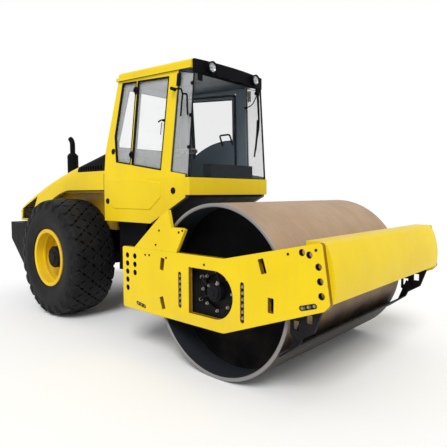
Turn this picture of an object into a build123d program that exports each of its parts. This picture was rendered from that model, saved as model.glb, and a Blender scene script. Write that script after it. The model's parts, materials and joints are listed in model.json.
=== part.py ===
from build123d import *
from math import cos, hypot, radians, sin, tan
import os

os.makedirs("parts", exist_ok=True)

# Whole machine: +X forward, +Y left, +Z up, origin on the ground under the middle
axle_to_pivot = 1480
pivot_to_drum = 1480
front_overhang = 1125
rear_overhang = 1723
axle_x = (rear_overhang - front_overhang - axle_to_pivot - pivot_to_drum) / 2
pivot_x = axle_x + axle_to_pivot
drum_x = pivot_x + pivot_to_drum

# Clearances
running_fit = 0.05
panel_gap = 10
face_gap = 0.3

# Rear wheels
tyre_radius = 760
tyre_width = 590
tyre_belly_radius = 545
tyre_shoulder_radius = 700
tyre_shoulder_width = 520
tyre_crown_radius = 727
lug_count = 36
lug_length = 215
lug_width = 95
lug_skew = 28
lug_lean = 8
lug_y = 125
lug_foot = 20
wheel_y = 790
rim_radius = 340
rim_width = 500
rim_wall = 18
rim_flange = 28
rim_flange_thickness = 15
rim_disc_offset = 10
rim_disc_thickness = 22
rim_ridge_offset = 150
rim_ridge_width = 26
rim_ridge_height = 14
hub_radius = 185
hub_bore = 70
hub_flange_thickness = 30
hub_inner_length = 150
hub_nose_radius = 140
hub_nose_length = 95
hub_nose_bevel = 28
axle_z = tyre_radius

# Rear axle and chassis
axle_tube_radius = 92
differential_radius = 185
differential_width = 80
differential_shoulder_radius = 160
differential_shoulder_width = 220
differential_length = 380
axle_pad_length = 260
chassis_y = 250
chassis_wall = 40
chassis_top = 1120
chassis_rear_reach = 1250
chassis_to_pivot = 360
chassis_nose_depth = 690
chassis_rail_depth = 260
nose_slope_rear = 620
nose_slope_front = 330
bulkhead_thickness = 40
fork_plate = 50
fork_radius = 110
fork_low_z = 430
fork_high_z = 800
skirt_y = 490
skirt_thickness = 15
skirt_top = 1235
skirt_front_run = 250
skirt_knee_run = 180
skirt_knee_z = 1100
skirt_foot_run = 120
skirt_foot_z = 610
skirt_rear_run = 320
skirt_rear_z = 650
skirt_shelf_length = 290
skirt_shelf_thickness = 25
chassis_rear = axle_x - chassis_rear_reach
chassis_front = pivot_x - chassis_to_pivot

# Centre joint
pin_radius = 48
yoke_radius = 100
yoke_arm_y = 300
yoke_arm_radius = 48
yoke_arm_thickness = 40
yoke_arm_z = 600
spindle_radius = 100
spindle_z = 640
collar_radius = 140
collar_thickness = 32
collar_gap = 6
front_member_offset = 262
front_member_length = 200

# Steering cylinders
cylinder_back = 740
cylinder_base_y = 420
cylinder_radius = 42
rod_radius = 25
eye_radius = 45
eye_thickness = 54
eye_pin_radius = 20
barrel_start = 55
barrel_end = 520
bore_start = 75
rod_inner_end = 250
clevis_plate = 20

# Rear counterweight and engine bay
bumper_half_width = 810
bumper_top = 1145
bumper_bottom = 500
bumper_face_bottom = 930
bumper_chamfer_length = 473
bumper_corner_radius = 60
bumper_wing_reach = 870
bumper_wing_inner = 520
tail_lamp_y = 600
tail_lamp_z = 1040
tail_lamp_width = 220
tail_lamp_height = 90
tail_lamp_depth = 30
tail_lamp_body = 24
tail_lamp_gap = 2
engine_half_width = 400
engine_length = 1350
engine_rear_reach = 1050
engine_front_top = 1640
engine_rear_top = 1430
liner_y = 480
liner_wall = 25
liner_length = 1380
liner_top = 1590
liner_flange_y = 600
bumper_rear = axle_x - rear_overhang
bumper_wing_front = axle_x - bumper_wing_reach
engine_rear = axle_x - engine_rear_reach

# Hood
hood_half_width = 640
hood_wall = 25
hood_bottom = 1165
hood_front_reach = 708
hood_rear_reach = 1690
hood_corner_reach = 1685
hood_corner_z = 1320
hood_tail_reach = 1590
hood_tail_z = 1420
hood_crown_reach = 747
hood_crown_z = 1732
hood_shoulder_reach = 93
hood_shoulder_z = 1950
hood_top_front = 2085
hood_edge_radius = 60
hood_arch_z = 1625
hood_arch_start_reach = 155
hood_arch_mid_reach = 602
hood_arch_mid_z = 1500
hood_arch_end_reach = 1080
fender_step = 25
crease_z = 1825
crease_start_reach = 157
crease_mid_reach = 476
crease_mid_z = 1680
crease_end_reach = 1020
crease_end_z = 1398
crease_foot_reach = 1150
hood_hinge_inset = 25
hood_hinge_z = 1168
hood_hinge_y = 430
hood_pin_radius = 10
hood_ear_radius = 22
hood_ear_thickness = 30
cap_rear_reach = 70
cap_bottom = 1862
cap_slot_width = 34
cap_slot_height = 50
cap_slot_length = 420
cap_slot_pitch = 58
cap_slot_count = 9
cap_slot_rise = 45
grille_thickness = 20
grille_slat = 24
grille_pitch = 46
grille_slat_count = 8
grille_top_reach = 1110
grille_top_z = 1545
grille_rear_reach = 1625
grille_rear_z = 1350
grille_foot_rear_reach = 1650
grille_foot_front_reach = 1340
grille_foot_z = 1195
tail_slot_width = 46
tail_slot_height = 90
tail_slot_pitch = 76
tail_slot_count = 9
tail_slot_z = 1250
exhaust_reach = 780
exhaust_y = -230
exhaust_can_radius = 80
exhaust_can_height = 565
exhaust_shoulder = 35
exhaust_collar = 12
exhaust_pipe_radius = 38
exhaust_pipe_wall = 5
exhaust_bend = 110
exhaust_bend_angle = 60
exhaust_rise = 125
hood_front = axle_x + hood_front_reach
hood_rear = axle_x - hood_rear_reach
hood_hinge_x = bumper_rear + hood_hinge_inset
exhaust_x = axle_x - exhaust_reach

# Cab
cab_half_width = 664
cab_wall = 50
cab_rear_reach = 722
cab_front_reach = 2225
cab_floor_bottom = 1250
cab_floor_thickness = 45
cab_knee_setback = 618
apron_bottom = 1565
apron_top = 1745
apron_corner_radius = 25
cab_fold_z = 1750
cab_lean = 5
roof_rear_reach = 900
roof_setback = 40
roof_half_width = 585
roof_rear_bottom = 2915
roof_front_bottom = 2850
roof_thickness = 95
roof_lip = 34
roof_inset = 12
roof_rear_lip = 15
roof_edge_radius = 28
roof_corner_radius = 40
glass_thickness = 6
belt_rear_z = 1957
belt_front_z = 1775
window_rear_reach = 960
window_kink_reach = 903
window_kink_z = 2262
window_top_rear_reach = 1005
window_top_rear_z = 2882
window_top_front_z = 2818
window_bar_reach = 1240
window_bar_top_reach = 1275
window_bar_width = 28
rops_rear_setback = 436
rops_rear_top_setback = 383
rops_front_setback = 281
rops_front_top_setback = 238
rear_frame_width = 70
pad_height = 8
pad_taper = 40
pad_rear_reach = 840
pad_front_setback = 428
pad_bottom = 1402
pad_top = 1742
pad_corner = 45
pad_slope_setback = 615
pad_slope_z = 1540
pad_front_z = 1692
pad_crest_setback = 775
door_hinge_reach = 950
door_bottom = 1320
door_gap = 14
door_frame = 45
door_header = 50
door_pane_rear_z = 2060
door_pane_mid_z = 2215
door_pane_front_z = 2245
door_pad_inset = 60
handle_length = 110
handle_height = 28
handle_depth = 22
handle_inset = 40
handle_z = 1600
hinge_low_z = 1420
hinge_high_z = 1660
hinge_height = 70
hinge_radius = 14
hinge_pin_radius = 8
hinge_offset = 16
visor_half_width = 555
visor_end = 30
visor_bow = 77
visor_bottom = 2810
visor_height = 130
visor_tab_y = 476
visor_tab_width = 60
visor_tab_thickness = 14
visor_tab_bottom = 2732
lamp_y = 360
lamp_radius = 55
lamp_pod_wall = 7
lamp_reach = 105
lamp_depth = 70
lamp_recess = 12
lamp_rim = 6
lamp_bowl = 30
mirror_y = 640
mirror_tube = 9
mirror_bend = 18
mirror_stand = 60
mirror_foot_setback = 270
mirror_foot_z = 2662
mirror_arm_setback = 118
mirror_arm_z = 2638
mirror_drop_setback = 100
mirror_drop_z = 2586
mirror_leg_setback = 35
mirror_leg_z = 2576
mirror_tip_setback = 29
mirror_tip_z = 2366
mirror_inner_tip_setback = 131
rail_tube = 14
rail_bend = 35
rail_stand = 50
rail_low_z = 1500
rail_high_z = 2200
rail_rear_reach = 850
rail_front_setback = 359
mount_radius = 55
step_lead = 145
step_length = 400
step_y = 640
step_wall = 15
step_bottom = 480
step_pitch = 300
cab_rear = axle_x + cab_rear_reach
cab_front = axle_x + cab_front_reach
cab_knee = cab_front - cab_knee_setback
roof_rear_x = axle_x + roof_rear_reach
roof_front_x = cab_front - roof_setback
window_rear_x = axle_x + window_rear_reach
window_kink_x = axle_x + window_kink_reach
window_top_rear_x = axle_x + window_top_rear_reach
window_bar_x = axle_x + window_bar_reach
window_bar_top_x = axle_x + window_bar_top_reach
rops_rear_x = cab_front - rops_rear_setback
rops_rear_top_x = cab_front - rops_rear_top_setback
rops_front_x = cab_front - rops_front_setback
rops_front_top_x = cab_front - rops_front_top_setback
door_hinge_x = axle_x + door_hinge_reach

# Drum and front frame
drum_radius = 750
drum_width = 2130
drum_wall = 32
web_recess = 270
web_thickness = 25
drum_hub_radius = 190
drum_hub_length = 120
drum_shaft_radius = 95
carrier_gap = 85
carrier_plate = 30
carrier_height = 470
carrier_opening = 150
carrier_flange_radius = 185
carrier_flange_thickness = 25
buffer_width = 100
buffer_height = 380
motor_radius = 80
motor_length = 75
plate_thickness = 45
plate_gap = 15
plate_low_z = 440
plate_top_z = 1055
plate_knee_reach = 155
plate_front_top_z = 1250
plate_front_top_reach = 1046
plate_front_low_z = 783
plate_front_low_reach = 1071
plate_nose_reach = 1113
plate_nose_z = 831
plate_corner_radius = 25
plate_knee_radius = 120
window_flat_reach = 256
window_arc_reach = 52
window_arc_radius = 202
window_z = 742
bolt_slot_length = 326
bolt_slot_width = 42
bolt_slot_rear_reach = 370
bolt_slot_front_reach = 350
bolt_slot_z = 726
frame_hole_radius = 28
frame_hole_pitch = 81.5
rear_hole_inset = 78
second_hole_inset = 198
rear_hole_z = 805
lash_hole_radius = 25
lash_holes = [(891, 1170), (950, 1158), (1022, 1082), (1036, 983), (1048, 884)]
drain_slot_width = 55
drain_slot_length = 115
drain_slot_radius = 8
drain_slot_lean = 18
drain_rear_reach = 608
drain_rear_high_z = 932
drain_rear_low_z = 570
drain_front_high_reach = 545
drain_front_high_z = 1036
drain_front_low_reach = 625
drain_front_low_z = 750
foot_slot_length = 150
foot_slot_width = 38
foot_slot_rear_reach = 930
foot_slot_rear_z = 500
foot_slot_rear_lean = 9
foot_slot_front_reach = 942
foot_slot_front_z = 792
foot_slot_front_lean = 17
member_bottom = 470
member_top = 930
beam_wall = 40
beam_depth = 150
beam_radius = 605
beam_apex_z = 951
beam_edge_radius = 50
guard_thickness = 35
guard_rear_reach = 1026
guard_fold_reach = 621
guard_fold_z = 1378
guard_tip_reach = 516
guard_tip_z = 1434
guard_notch_reach = 476
guard_notch_z = 1277
guard_front_reach = 336
guard_corner_reach = 296
guard_corner_z = 1263
guard_foot_reach = 412
guard_flange = 26
guard_flange_depth = 70
bracket_thickness = 25
bracket_rear_reach = 768
bracket_rear_top_z = 740
bracket_rear_low_z = 560
bracket_foot_reach = 840
bracket_foot_z = 520
bracket_front_reach = 965
bracket_front_z = 600
bracket_tip_reach = 1025
bracket_tip_z = 770
bracket_top_reach = 1010
bracket_top_z = 825
bracket_hole_width = 55
bracket_hole_height = 70
bracket_hole_rear_reach = 815
bracket_hole_rear_z = 630
bracket_hole_front_reach = 925
bracket_hole_front_z = 690
scraper_angle = 31
scraper_pitch = 37
scraper_gap = 8
scraper_thickness = 14
scraper_length = 210
arm_thickness = 24
arm_foot = 95
arm_front_reach = 885
arm_front_z = 600
arm_rear_reach = 830
arm_rear_z = 650
plate_y = drum_width / 2 + plate_gap + plate_thickness
plate_inner_y = plate_y - plate_thickness
plate_rear = pivot_x + front_member_offset
plate_knee_x = drum_x + plate_knee_reach
bolt_slot_rear_x = drum_x - bolt_slot_rear_reach
bolt_slot_front_x = drum_x + bolt_slot_front_reach

# Operator's place
seat_reach = 1150
seat_y = -280
seat_width = 500
seat_depth = 480
seat_height = 1740
cushion_thickness = 120
back_height = 400
back_thickness = 130
pedestal_width = 360
column_reach = 360
column_radius = 40
steering_radius = 158
steering_rim = 14
steering_rise = 285
steering_tilt = 12
dash_y = 80
dash_half_width = 350
dash_depth = 130
dash_top = 1900
console_gap = 15
console_wall_gap = 14
console_lead = 100
console_length = 480
console_rise = 60
lever_inset = 90
lever_radius = 9
lever_height = 150
knob_radius = 20
knob_height = 45
seat_x = axle_x + seat_reach

wheel_plane = Plane(origin=(axle_x, -wheel_y, axle_z), x_dir=(0, 1, 0), z_dir=(1, 0, 0))
axle_plane = Plane(origin=(axle_x, 0, axle_z), x_dir=(0, 1, 0), z_dir=(1, 0, 0))
drum_plane = Plane(origin=(drum_x, 0, drum_radius), x_dir=(0, 1, 0), z_dir=(1, 0, 0))
wheel_axis = Axis((axle_x, 0, axle_z), (0, 1, 0))
drum_axis = Axis((drum_x, 0, drum_radius), (0, 1, 0))

bead_top = rim_radius + rim_flange + face_gap
lug_pitch = 360 / lug_count
lug_root = tyre_shoulder_radius - lug_foot
lug_reach = lug_length / 2 * cos(radians(lug_skew)) + lug_width / 2 * sin(radians(lug_skew))
lug_height = (tyre_radius - lug_root - lug_reach * sin(radians(lug_lean))) / cos(radians(lug_lean))


# Plane at the root of one lug of the right tyre, leaning out to the shoulder on its side
def lug_plane(turn, side):
    outward = Vector(cos(radians(turn)), 0, sin(radians(turn)))
    across = Vector(0, side, 0)
    return Plane(
        origin=Vector(axle_x, -wheel_y, axle_z) + outward * lug_root + across * lug_y,
        x_dir=across * cos(radians(lug_lean)) - outward * sin(radians(lug_lean)),
        z_dir=outward * cos(radians(lug_lean)) + across * sin(radians(lug_lean)),
    )


# Plane across the right tyre, at a place along its width
def tyre_plane(place):
    return Plane(origin=(axle_x, place - wheel_y, axle_z), x_dir=(1, 0, 0), z_dir=(0, 1, 0))


# Lugs: two rows of skewed blocks, half a pitch apart
with BuildPart() as tread_lugs:
    with BuildSketch(*[lug_plane(lug_pitch * step, 1) for step in range(lug_count)]):
        Rectangle(lug_length, lug_width, rotation=lug_skew)
    with BuildSketch(*[lug_plane(lug_pitch * (step + 0.5), -1) for step in range(lug_count)]):
        Rectangle(lug_length, lug_width, rotation=-lug_skew)
    extrude(amount=lug_height)

# Tyre: carcass lofted from bead to bead with one flat for each lug, bored for the rim
tyre_profile = [
    (-rim_width / 2, bead_top),
    (-tyre_width / 2, tyre_belly_radius),
    (-tyre_shoulder_width / 2, tyre_shoulder_radius),
    (0, tyre_crown_radius),
    (tyre_shoulder_width / 2, tyre_shoulder_radius),
    (tyre_width / 2, tyre_belly_radius),
    (rim_width / 2, bead_top),
]
with BuildPart() as tyre_right:
    for place, radius in tyre_profile:
        with BuildSketch(tyre_plane(place)):
            RegularPolygon(radius, lug_count, major_radius=False)
    loft(ruled=True)
    with BuildSketch(tyre_plane(0)):
        Circle(rim_radius)
    extrude(amount=tyre_width, both=True, mode=Mode.SUBTRACT)
    add(tread_lugs.part)
tyre_right.part.label = "tyre_right"
export_step(tyre_right.part, "parts/tyre_right.step")

with BuildPart() as tyre_left:
    mirror(tyre_right.part, about=Plane.XZ)
tyre_left.part.label = "tyre_left"
export_step(tyre_left.part, "parts/tyre_left.step")

# Rim: barrel with a ridge inside, two flanges and the dished disc
rim_inner = rim_radius - rim_wall
with BuildPart() as rim_right:
    with BuildSketch(wheel_plane):
        with Locations((0, rim_radius - rim_wall / 2)):
            Rectangle(rim_width, rim_wall)
        with Locations((-rim_ridge_offset, rim_inner - rim_ridge_height / 2)):
            Rectangle(rim_ridge_width, rim_ridge_height)
        with Locations(
            (rim_width / 2 + rim_flange_thickness / 2, rim_inner + (rim_flange + rim_wall) / 2),
            (-rim_width / 2 - rim_flange_thickness / 2, rim_inner + (rim_flange + rim_wall) / 2),
        ):
            Rectangle(rim_flange_thickness, rim_flange + rim_wall)
        with Locations((-rim_disc_offset, (rim_inner + hub_nose_radius) / 2)):
            Rectangle(rim_disc_thickness, rim_inner - hub_nose_radius)
    revolve(axis=wheel_axis)
rim_right.part.label = "rim_right"
export_step(rim_right.part, "parts/rim_right.step")

with BuildPart() as rim_left:
    mirror(rim_right.part, about=Plane.XZ)
rim_left.part.label = "rim_left"
export_step(rim_left.part, "parts/rim_left.step")

# Hub: flange behind the rim disc, nose through it, bore for the axle's spindle
hub_face = -rim_disc_offset + rim_disc_thickness / 2
with BuildPart() as hub_right:
    with BuildSketch(wheel_plane):
        with Locations((hub_face + hub_inner_length / 2, (hub_bore + hub_nose_radius) / 2)):
            Rectangle(hub_inner_length, hub_nose_radius - hub_bore)
        with Locations((hub_face + hub_flange_thickness / 2, (hub_bore + hub_radius) / 2)):
            Rectangle(hub_flange_thickness, hub_radius - hub_bore)
        with Locations((hub_face - hub_nose_length / 2, hub_nose_radius / 2)):
            Rectangle(hub_nose_length, hub_nose_radius)
    revolve(axis=wheel_axis)
    chamfer(hub_right.edges().filter_by(GeomType.CIRCLE).sort_by(Axis.Y)[0], hub_nose_bevel)
hub_right.part.label = "hub_right"
export_step(hub_right.part, "parts/hub_right.step")

with BuildPart() as hub_left:
    mirror(hub_right.part, about=Plane.XZ)
hub_left.part.label = "hub_left"
export_step(hub_left.part, "parts/hub_left.step")

# Rear axle: housing with its differential, spindles in the hubs and pads under the rails
spindle_tip = wheel_y - hub_face - running_fit
axle_shoulder = wheel_y - hub_face - hub_inner_length - face_gap
with BuildPart() as rear_axle:
    with BuildSketch(axle_plane):
        with Locations((0, axle_tube_radius / 2)):
            Rectangle(2 * axle_shoulder, axle_tube_radius)
        with Locations((0, (hub_bore - running_fit) / 2)):
            Rectangle(2 * spindle_tip, hub_bore - running_fit)
        with BuildLine():
            Polyline(
                (-differential_length / 2, 0),
                (-differential_length / 2, axle_tube_radius),
                (-differential_shoulder_width / 2, differential_shoulder_radius),
                (-differential_width / 2, differential_radius),
                (differential_width / 2, differential_radius),
                (differential_shoulder_width / 2, differential_shoulder_radius),
                (differential_length / 2, axle_tube_radius),
                (differential_length / 2, 0),
                close=True,
            )
        make_face()
    revolve(axis=wheel_axis)
    with Locations(
        (axle_x, chassis_y - chassis_wall / 2, (axle_z + chassis_top - chassis_rail_depth) / 2),
        (axle_x, -chassis_y + chassis_wall / 2, (axle_z + chassis_top - chassis_rail_depth) / 2),
    ):
        Box(axle_pad_length, chassis_wall, chassis_top - chassis_rail_depth - axle_z)
rear_axle.part.label = "rear_axle"
export_step(rear_axle.part, "parts/rear_axle.step")

# Rear chassis: two rails, bulkheads, the fork of the centre joint and cylinder brackets
rail_bottom = chassis_top - chassis_rail_depth
nose_bottom = chassis_top - chassis_nose_depth
fork_high_top = fork_high_z + fork_plate
cylinder_z = yoke_arm_z + yoke_arm_thickness + face_gap + eye_thickness / 2
cylinder_x = pivot_x - cylinder_back
clevis_step = eye_thickness / 2 + face_gap
with BuildPart() as rear_chassis:
    with BuildSketch(Plane.XZ.offset(-chassis_y)):
        with BuildLine():
            Polyline(
                (chassis_rear, chassis_top),
                (chassis_rear, rail_bottom),
                (chassis_front - nose_slope_rear, rail_bottom),
                (chassis_front - nose_slope_front, nose_bottom),
                (chassis_front, nose_bottom),
                (chassis_front, chassis_top),
                close=True,
            )
        make_face()
    extrude(amount=chassis_wall)
    mirror(about=Plane.XZ)
    with BuildSketch(Plane.YZ.offset(chassis_front - bulkhead_thickness)):
        with Locations((0, (nose_bottom + chassis_top) / 2)):
            Rectangle(2 * chassis_y, chassis_top - nose_bottom)
    extrude(amount=bulkhead_thickness)
    with BuildSketch(Plane.YZ.offset(chassis_rear)):
        with Locations((0, (rail_bottom + chassis_top) / 2)):
            Rectangle(2 * chassis_y, chassis_rail_depth)
    extrude(amount=bulkhead_thickness)
    with BuildSketch(Plane.XY.offset(fork_low_z)) as fork_outline:
        with BuildLine():
            Polyline(
                (chassis_front - bulkhead_thickness, chassis_y),
                (chassis_front, chassis_y),
                (pivot_x, fork_radius),
                (pivot_x, -fork_radius),
                (chassis_front, -chassis_y),
                (chassis_front - bulkhead_thickness, -chassis_y),
                close=True,
            )
        make_face()
        with Locations((pivot_x, 0)):
            Circle(fork_radius)
            Circle(pin_radius + running_fit, mode=Mode.SUBTRACT)
    extrude(amount=fork_plate)
    extrude(fork_outline.sketch.moved(Location((0, 0, fork_high_z - fork_low_z))), amount=fork_plate)
    with BuildSketch(Plane.XY.offset(cylinder_z - clevis_step - clevis_plate)) as clevis:
        with Locations((cylinder_x, cylinder_base_y), (cylinder_x, -cylinder_base_y)):
            Circle(eye_radius)
        with Locations(
            (cylinder_x, (chassis_y + cylinder_base_y) / 2),
            (cylinder_x, -(chassis_y + cylinder_base_y) / 2),
        ):
            Rectangle(2 * eye_radius, cylinder_base_y - chassis_y)
    extrude(amount=clevis_plate)
    extrude(clevis.sketch.moved(Location((0, 0, 2 * clevis_step + clevis_plate))), amount=clevis_plate)
    with BuildSketch(Plane.XY.offset(cylinder_z - clevis_step)):
        with Locations((cylinder_x, cylinder_base_y), (cylinder_x, -cylinder_base_y)):
            Circle(eye_pin_radius)
    extrude(amount=2 * clevis_step)
rear_chassis.part.label = "rear_chassis"
export_step(rear_chassis.part, "parts/rear_chassis.step")

# Yoke of the centre joint: upright post with its pins, steering arms and the swing spindle
fork_low_top = fork_low_z + fork_plate
post_low = fork_low_top + face_gap
post_high = fork_high_z - face_gap
member_rear = pivot_x + front_member_offset
member_front = member_rear + front_member_length
with BuildPart() as steering_yoke:
    with BuildSketch(Plane.XY.offset(post_low)):
        with Locations((pivot_x, 0)):
            Circle(yoke_radius)
    extrude(amount=post_high - post_low)
    with BuildSketch(Plane.XY.offset(fork_low_z)):
        with Locations((pivot_x, 0)):
            Circle(pin_radius)
    extrude(amount=fork_high_top - fork_low_z)
    with BuildSketch(Plane.XY.offset(yoke_arm_z)):
        with Locations((pivot_x, yoke_arm_y), (pivot_x, -yoke_arm_y)):
            Circle(yoke_arm_radius)
        with Locations((pivot_x, 0)):
            Rectangle(2 * yoke_arm_radius, 2 * yoke_arm_y)
    extrude(amount=yoke_arm_thickness)
    with BuildSketch(Plane.YZ.offset(pivot_x)):
        with Locations((0, spindle_z)):
            Circle(spindle_radius)
    extrude(amount=front_member_offset + front_member_length + collar_gap)
    with BuildSketch(
        Plane.YZ.offset(member_rear - collar_gap - collar_thickness),
        Plane.YZ.offset(member_front + collar_gap),
    ):
        with Locations((0, spindle_z)):
            Circle(collar_radius)
    extrude(amount=collar_thickness)
steering_yoke.part.label = "steering_yoke"
export_step(steering_yoke.part, "parts/steering_yoke.step")

# Steering cylinders, from the chassis brackets to the yoke's arms
cylinder_run = Vector(cylinder_back, cylinder_base_y - yoke_arm_y, 0)
cylinder_length = cylinder_run.length
eye_plane = Plane(origin=(cylinder_x, -cylinder_base_y, cylinder_z), x_dir=cylinder_run, z_dir=(0, 0, 1))
tube_plane = Plane(origin=(cylinder_x, -cylinder_base_y, cylinder_z), x_dir=(0, 0, 1), z_dir=cylinder_run)
with BuildPart() as steer_barrel_right:
    with BuildSketch(eye_plane.offset(-eye_thickness / 2)):
        Circle(eye_radius)
        with Locations((barrel_start / 2, 0)):
            Rectangle(barrel_start, 2 * rod_radius)
        Circle(eye_pin_radius + running_fit, mode=Mode.SUBTRACT)
    extrude(amount=eye_thickness)
    with BuildSketch(tube_plane.offset(barrel_start)):
        Circle(cylinder_radius)
    extrude(amount=barrel_end - barrel_start)
    with BuildSketch(tube_plane.offset(bore_start)):
        Circle(rod_radius + running_fit)
    extrude(amount=barrel_end - bore_start, mode=Mode.SUBTRACT)
steer_barrel_right.part.label = "steer_barrel_right"
export_step(steer_barrel_right.part, "parts/steer_barrel_right.step")

with BuildPart() as steer_rod_right:
    with BuildSketch(tube_plane.offset(rod_inner_end)):
        Circle(rod_radius)
    extrude(amount=cylinder_length - rod_inner_end)
    with BuildSketch(eye_plane.offset(-eye_thickness / 2)):
        with Locations((cylinder_length, 0)):
            Circle(eye_radius)
    extrude(amount=eye_thickness)
    with BuildSketch(eye_plane.offset(eye_thickness / 2)):
        with Locations((cylinder_length, 0)):
            Circle(eye_pin_radius)
    extrude(amount=clevis_plate)
steer_rod_right.part.label = "steer_rod_right"
export_step(steer_rod_right.part, "parts/steer_rod_right.step")

with BuildPart() as steer_barrel_left:
    mirror(steer_barrel_right.part, about=Plane.XZ)
steer_barrel_left.part.label = "steer_barrel_left"
export_step(steer_barrel_left.part, "parts/steer_barrel_left.step")

with BuildPart() as steer_rod_left:
    mirror(steer_rod_right.part, about=Plane.XZ)
steer_rod_left.part.label = "steer_rod_left"
export_step(steer_rod_left.part, "parts/steer_rod_left.step")

# Rear counterweight: a block with a sloped lower face, lamp pockets and two wings beside the rails
with BuildPart() as rear_bumper:
    with BuildSketch(Plane.XZ.offset(-bumper_half_width)):
        with BuildLine():
            Polyline(
                (bumper_rear, bumper_top),
                (bumper_rear, bumper_face_bottom),
                (bumper_rear + bumper_chamfer_length, bumper_bottom),
                (bumper_wing_front, bumper_bottom),
                (bumper_wing_front, bumper_top),
                close=True,
            )
        make_face()
    extrude(amount=2 * bumper_half_width)
    with BuildSketch(Plane.XY.offset(bumper_bottom)):
        with Locations(((chassis_rear + bumper_wing_front) / 2, 0)):
            Rectangle(bumper_wing_front - chassis_rear, 2 * bumper_wing_inner)
    extrude(amount=bumper_top - bumper_bottom, mode=Mode.SUBTRACT)
    fillet(rear_bumper.edges().filter_by(Axis.Z).sort_by(Axis.X)[:2], bumper_corner_radius)
    with BuildSketch(Plane.YZ.offset(bumper_rear)):
        with Locations((tail_lamp_y, tail_lamp_z), (-tail_lamp_y, tail_lamp_z)):
            Rectangle(tail_lamp_width, tail_lamp_height)
    extrude(amount=tail_lamp_depth, mode=Mode.SUBTRACT)
    with BuildSketch(Plane.XZ.offset(-hood_hinge_y)):
        with Locations((hood_hinge_x, hood_hinge_z)):
            Circle(hood_ear_radius)
        with Locations((hood_hinge_x, (hood_hinge_z + bumper_top) / 2)):
            Rectangle(2 * hood_ear_radius, hood_hinge_z - bumper_top)
    extrude(amount=hood_ear_thickness)
    with BuildSketch(Plane.XZ.offset(-hood_hinge_y)):
        with Locations((hood_hinge_x, hood_hinge_z)):
            Circle(hood_pin_radius)
    extrude(amount=-hood_ear_thickness - face_gap)
    mirror(about=Plane.XZ)
rear_bumper.part.label = "rear_bumper"
export_step(rear_bumper.part, "parts/rear_bumper.step")

with BuildPart() as rear_lamps:
    with BuildSketch(Plane.YZ.offset(bumper_rear + tail_lamp_depth)):
        with Locations((tail_lamp_y, tail_lamp_z), (-tail_lamp_y, tail_lamp_z)):
            Rectangle(tail_lamp_width - 2 * tail_lamp_gap, tail_lamp_height - 2 * tail_lamp_gap)
    extrude(amount=-tail_lamp_body)
rear_lamps.part.label = "rear_lamps"
export_step(rear_lamps.part, "parts/rear_lamps.step")

# Wheelhouse liners: shelf on the rail, inner wall and a flange out under the hood's side
with BuildPart() as wheelhouse_liners:
    with BuildSketch(Plane.YZ.offset(hood_front - liner_length)):
        with BuildLine():
            Polyline(
                (chassis_y - chassis_wall, chassis_top),
                (liner_y, chassis_top),
                (liner_y, liner_top),
                (liner_flange_y, liner_top),
                (liner_flange_y, liner_top + liner_wall),
                (liner_y - liner_wall, liner_top + liner_wall),
                (liner_y - liner_wall, chassis_top + liner_wall),
                (chassis_y - chassis_wall, chassis_top + liner_wall),
                close=True,
            )
        make_face()
    extrude(amount=liner_length)
    mirror(about=Plane.XZ)
wheelhouse_liners.part.label = "wheelhouse_liners"
export_step(wheelhouse_liners.part, "parts/wheelhouse_liners.step")

# Engine, one plain block with a sump between the rails
engine_floor = chassis_top + liner_wall
with BuildPart() as engine:
    with BuildSketch(Plane.XZ.offset(-engine_half_width)):
        with BuildLine():
            Polyline(
                (engine_rear, engine_floor),
                (engine_rear, engine_rear_top),
                (engine_rear + engine_length, engine_front_top),
                (engine_rear + engine_length, engine_floor),
                close=True,
            )
        make_face()
    extrude(amount=2 * engine_half_width)
engine.part.label = "engine"
export_step(engine.part, "parts/engine.step")

# Skirt plates below the cab, on shelves from the rails
with BuildPart() as frame_skirts:
    with BuildSketch(Plane.XZ.offset(skirt_y)):
        with BuildLine():
            Polyline(
                (chassis_front - skirt_rear_run, skirt_top),
                (chassis_front + skirt_front_run, skirt_top),
                (chassis_front + skirt_knee_run, skirt_knee_z),
                (chassis_front - skirt_foot_run, skirt_foot_z),
                (chassis_front - skirt_rear_run, skirt_rear_z),
                close=True,
            )
        make_face()
    extrude(amount=skirt_thickness)
    with BuildSketch(Plane.XY.offset(chassis_top)):
        with Locations((chassis_front - skirt_shelf_length / 2, -(chassis_y + skirt_y) / 2)):
            Rectangle(skirt_shelf_length, skirt_y - chassis_y)
    extrude(amount=-skirt_shelf_thickness)
    mirror(about=Plane.XZ)
frame_skirts.part.label = "frame_skirts"
export_step(frame_skirts.part, "parts/frame_skirts.step")

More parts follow.
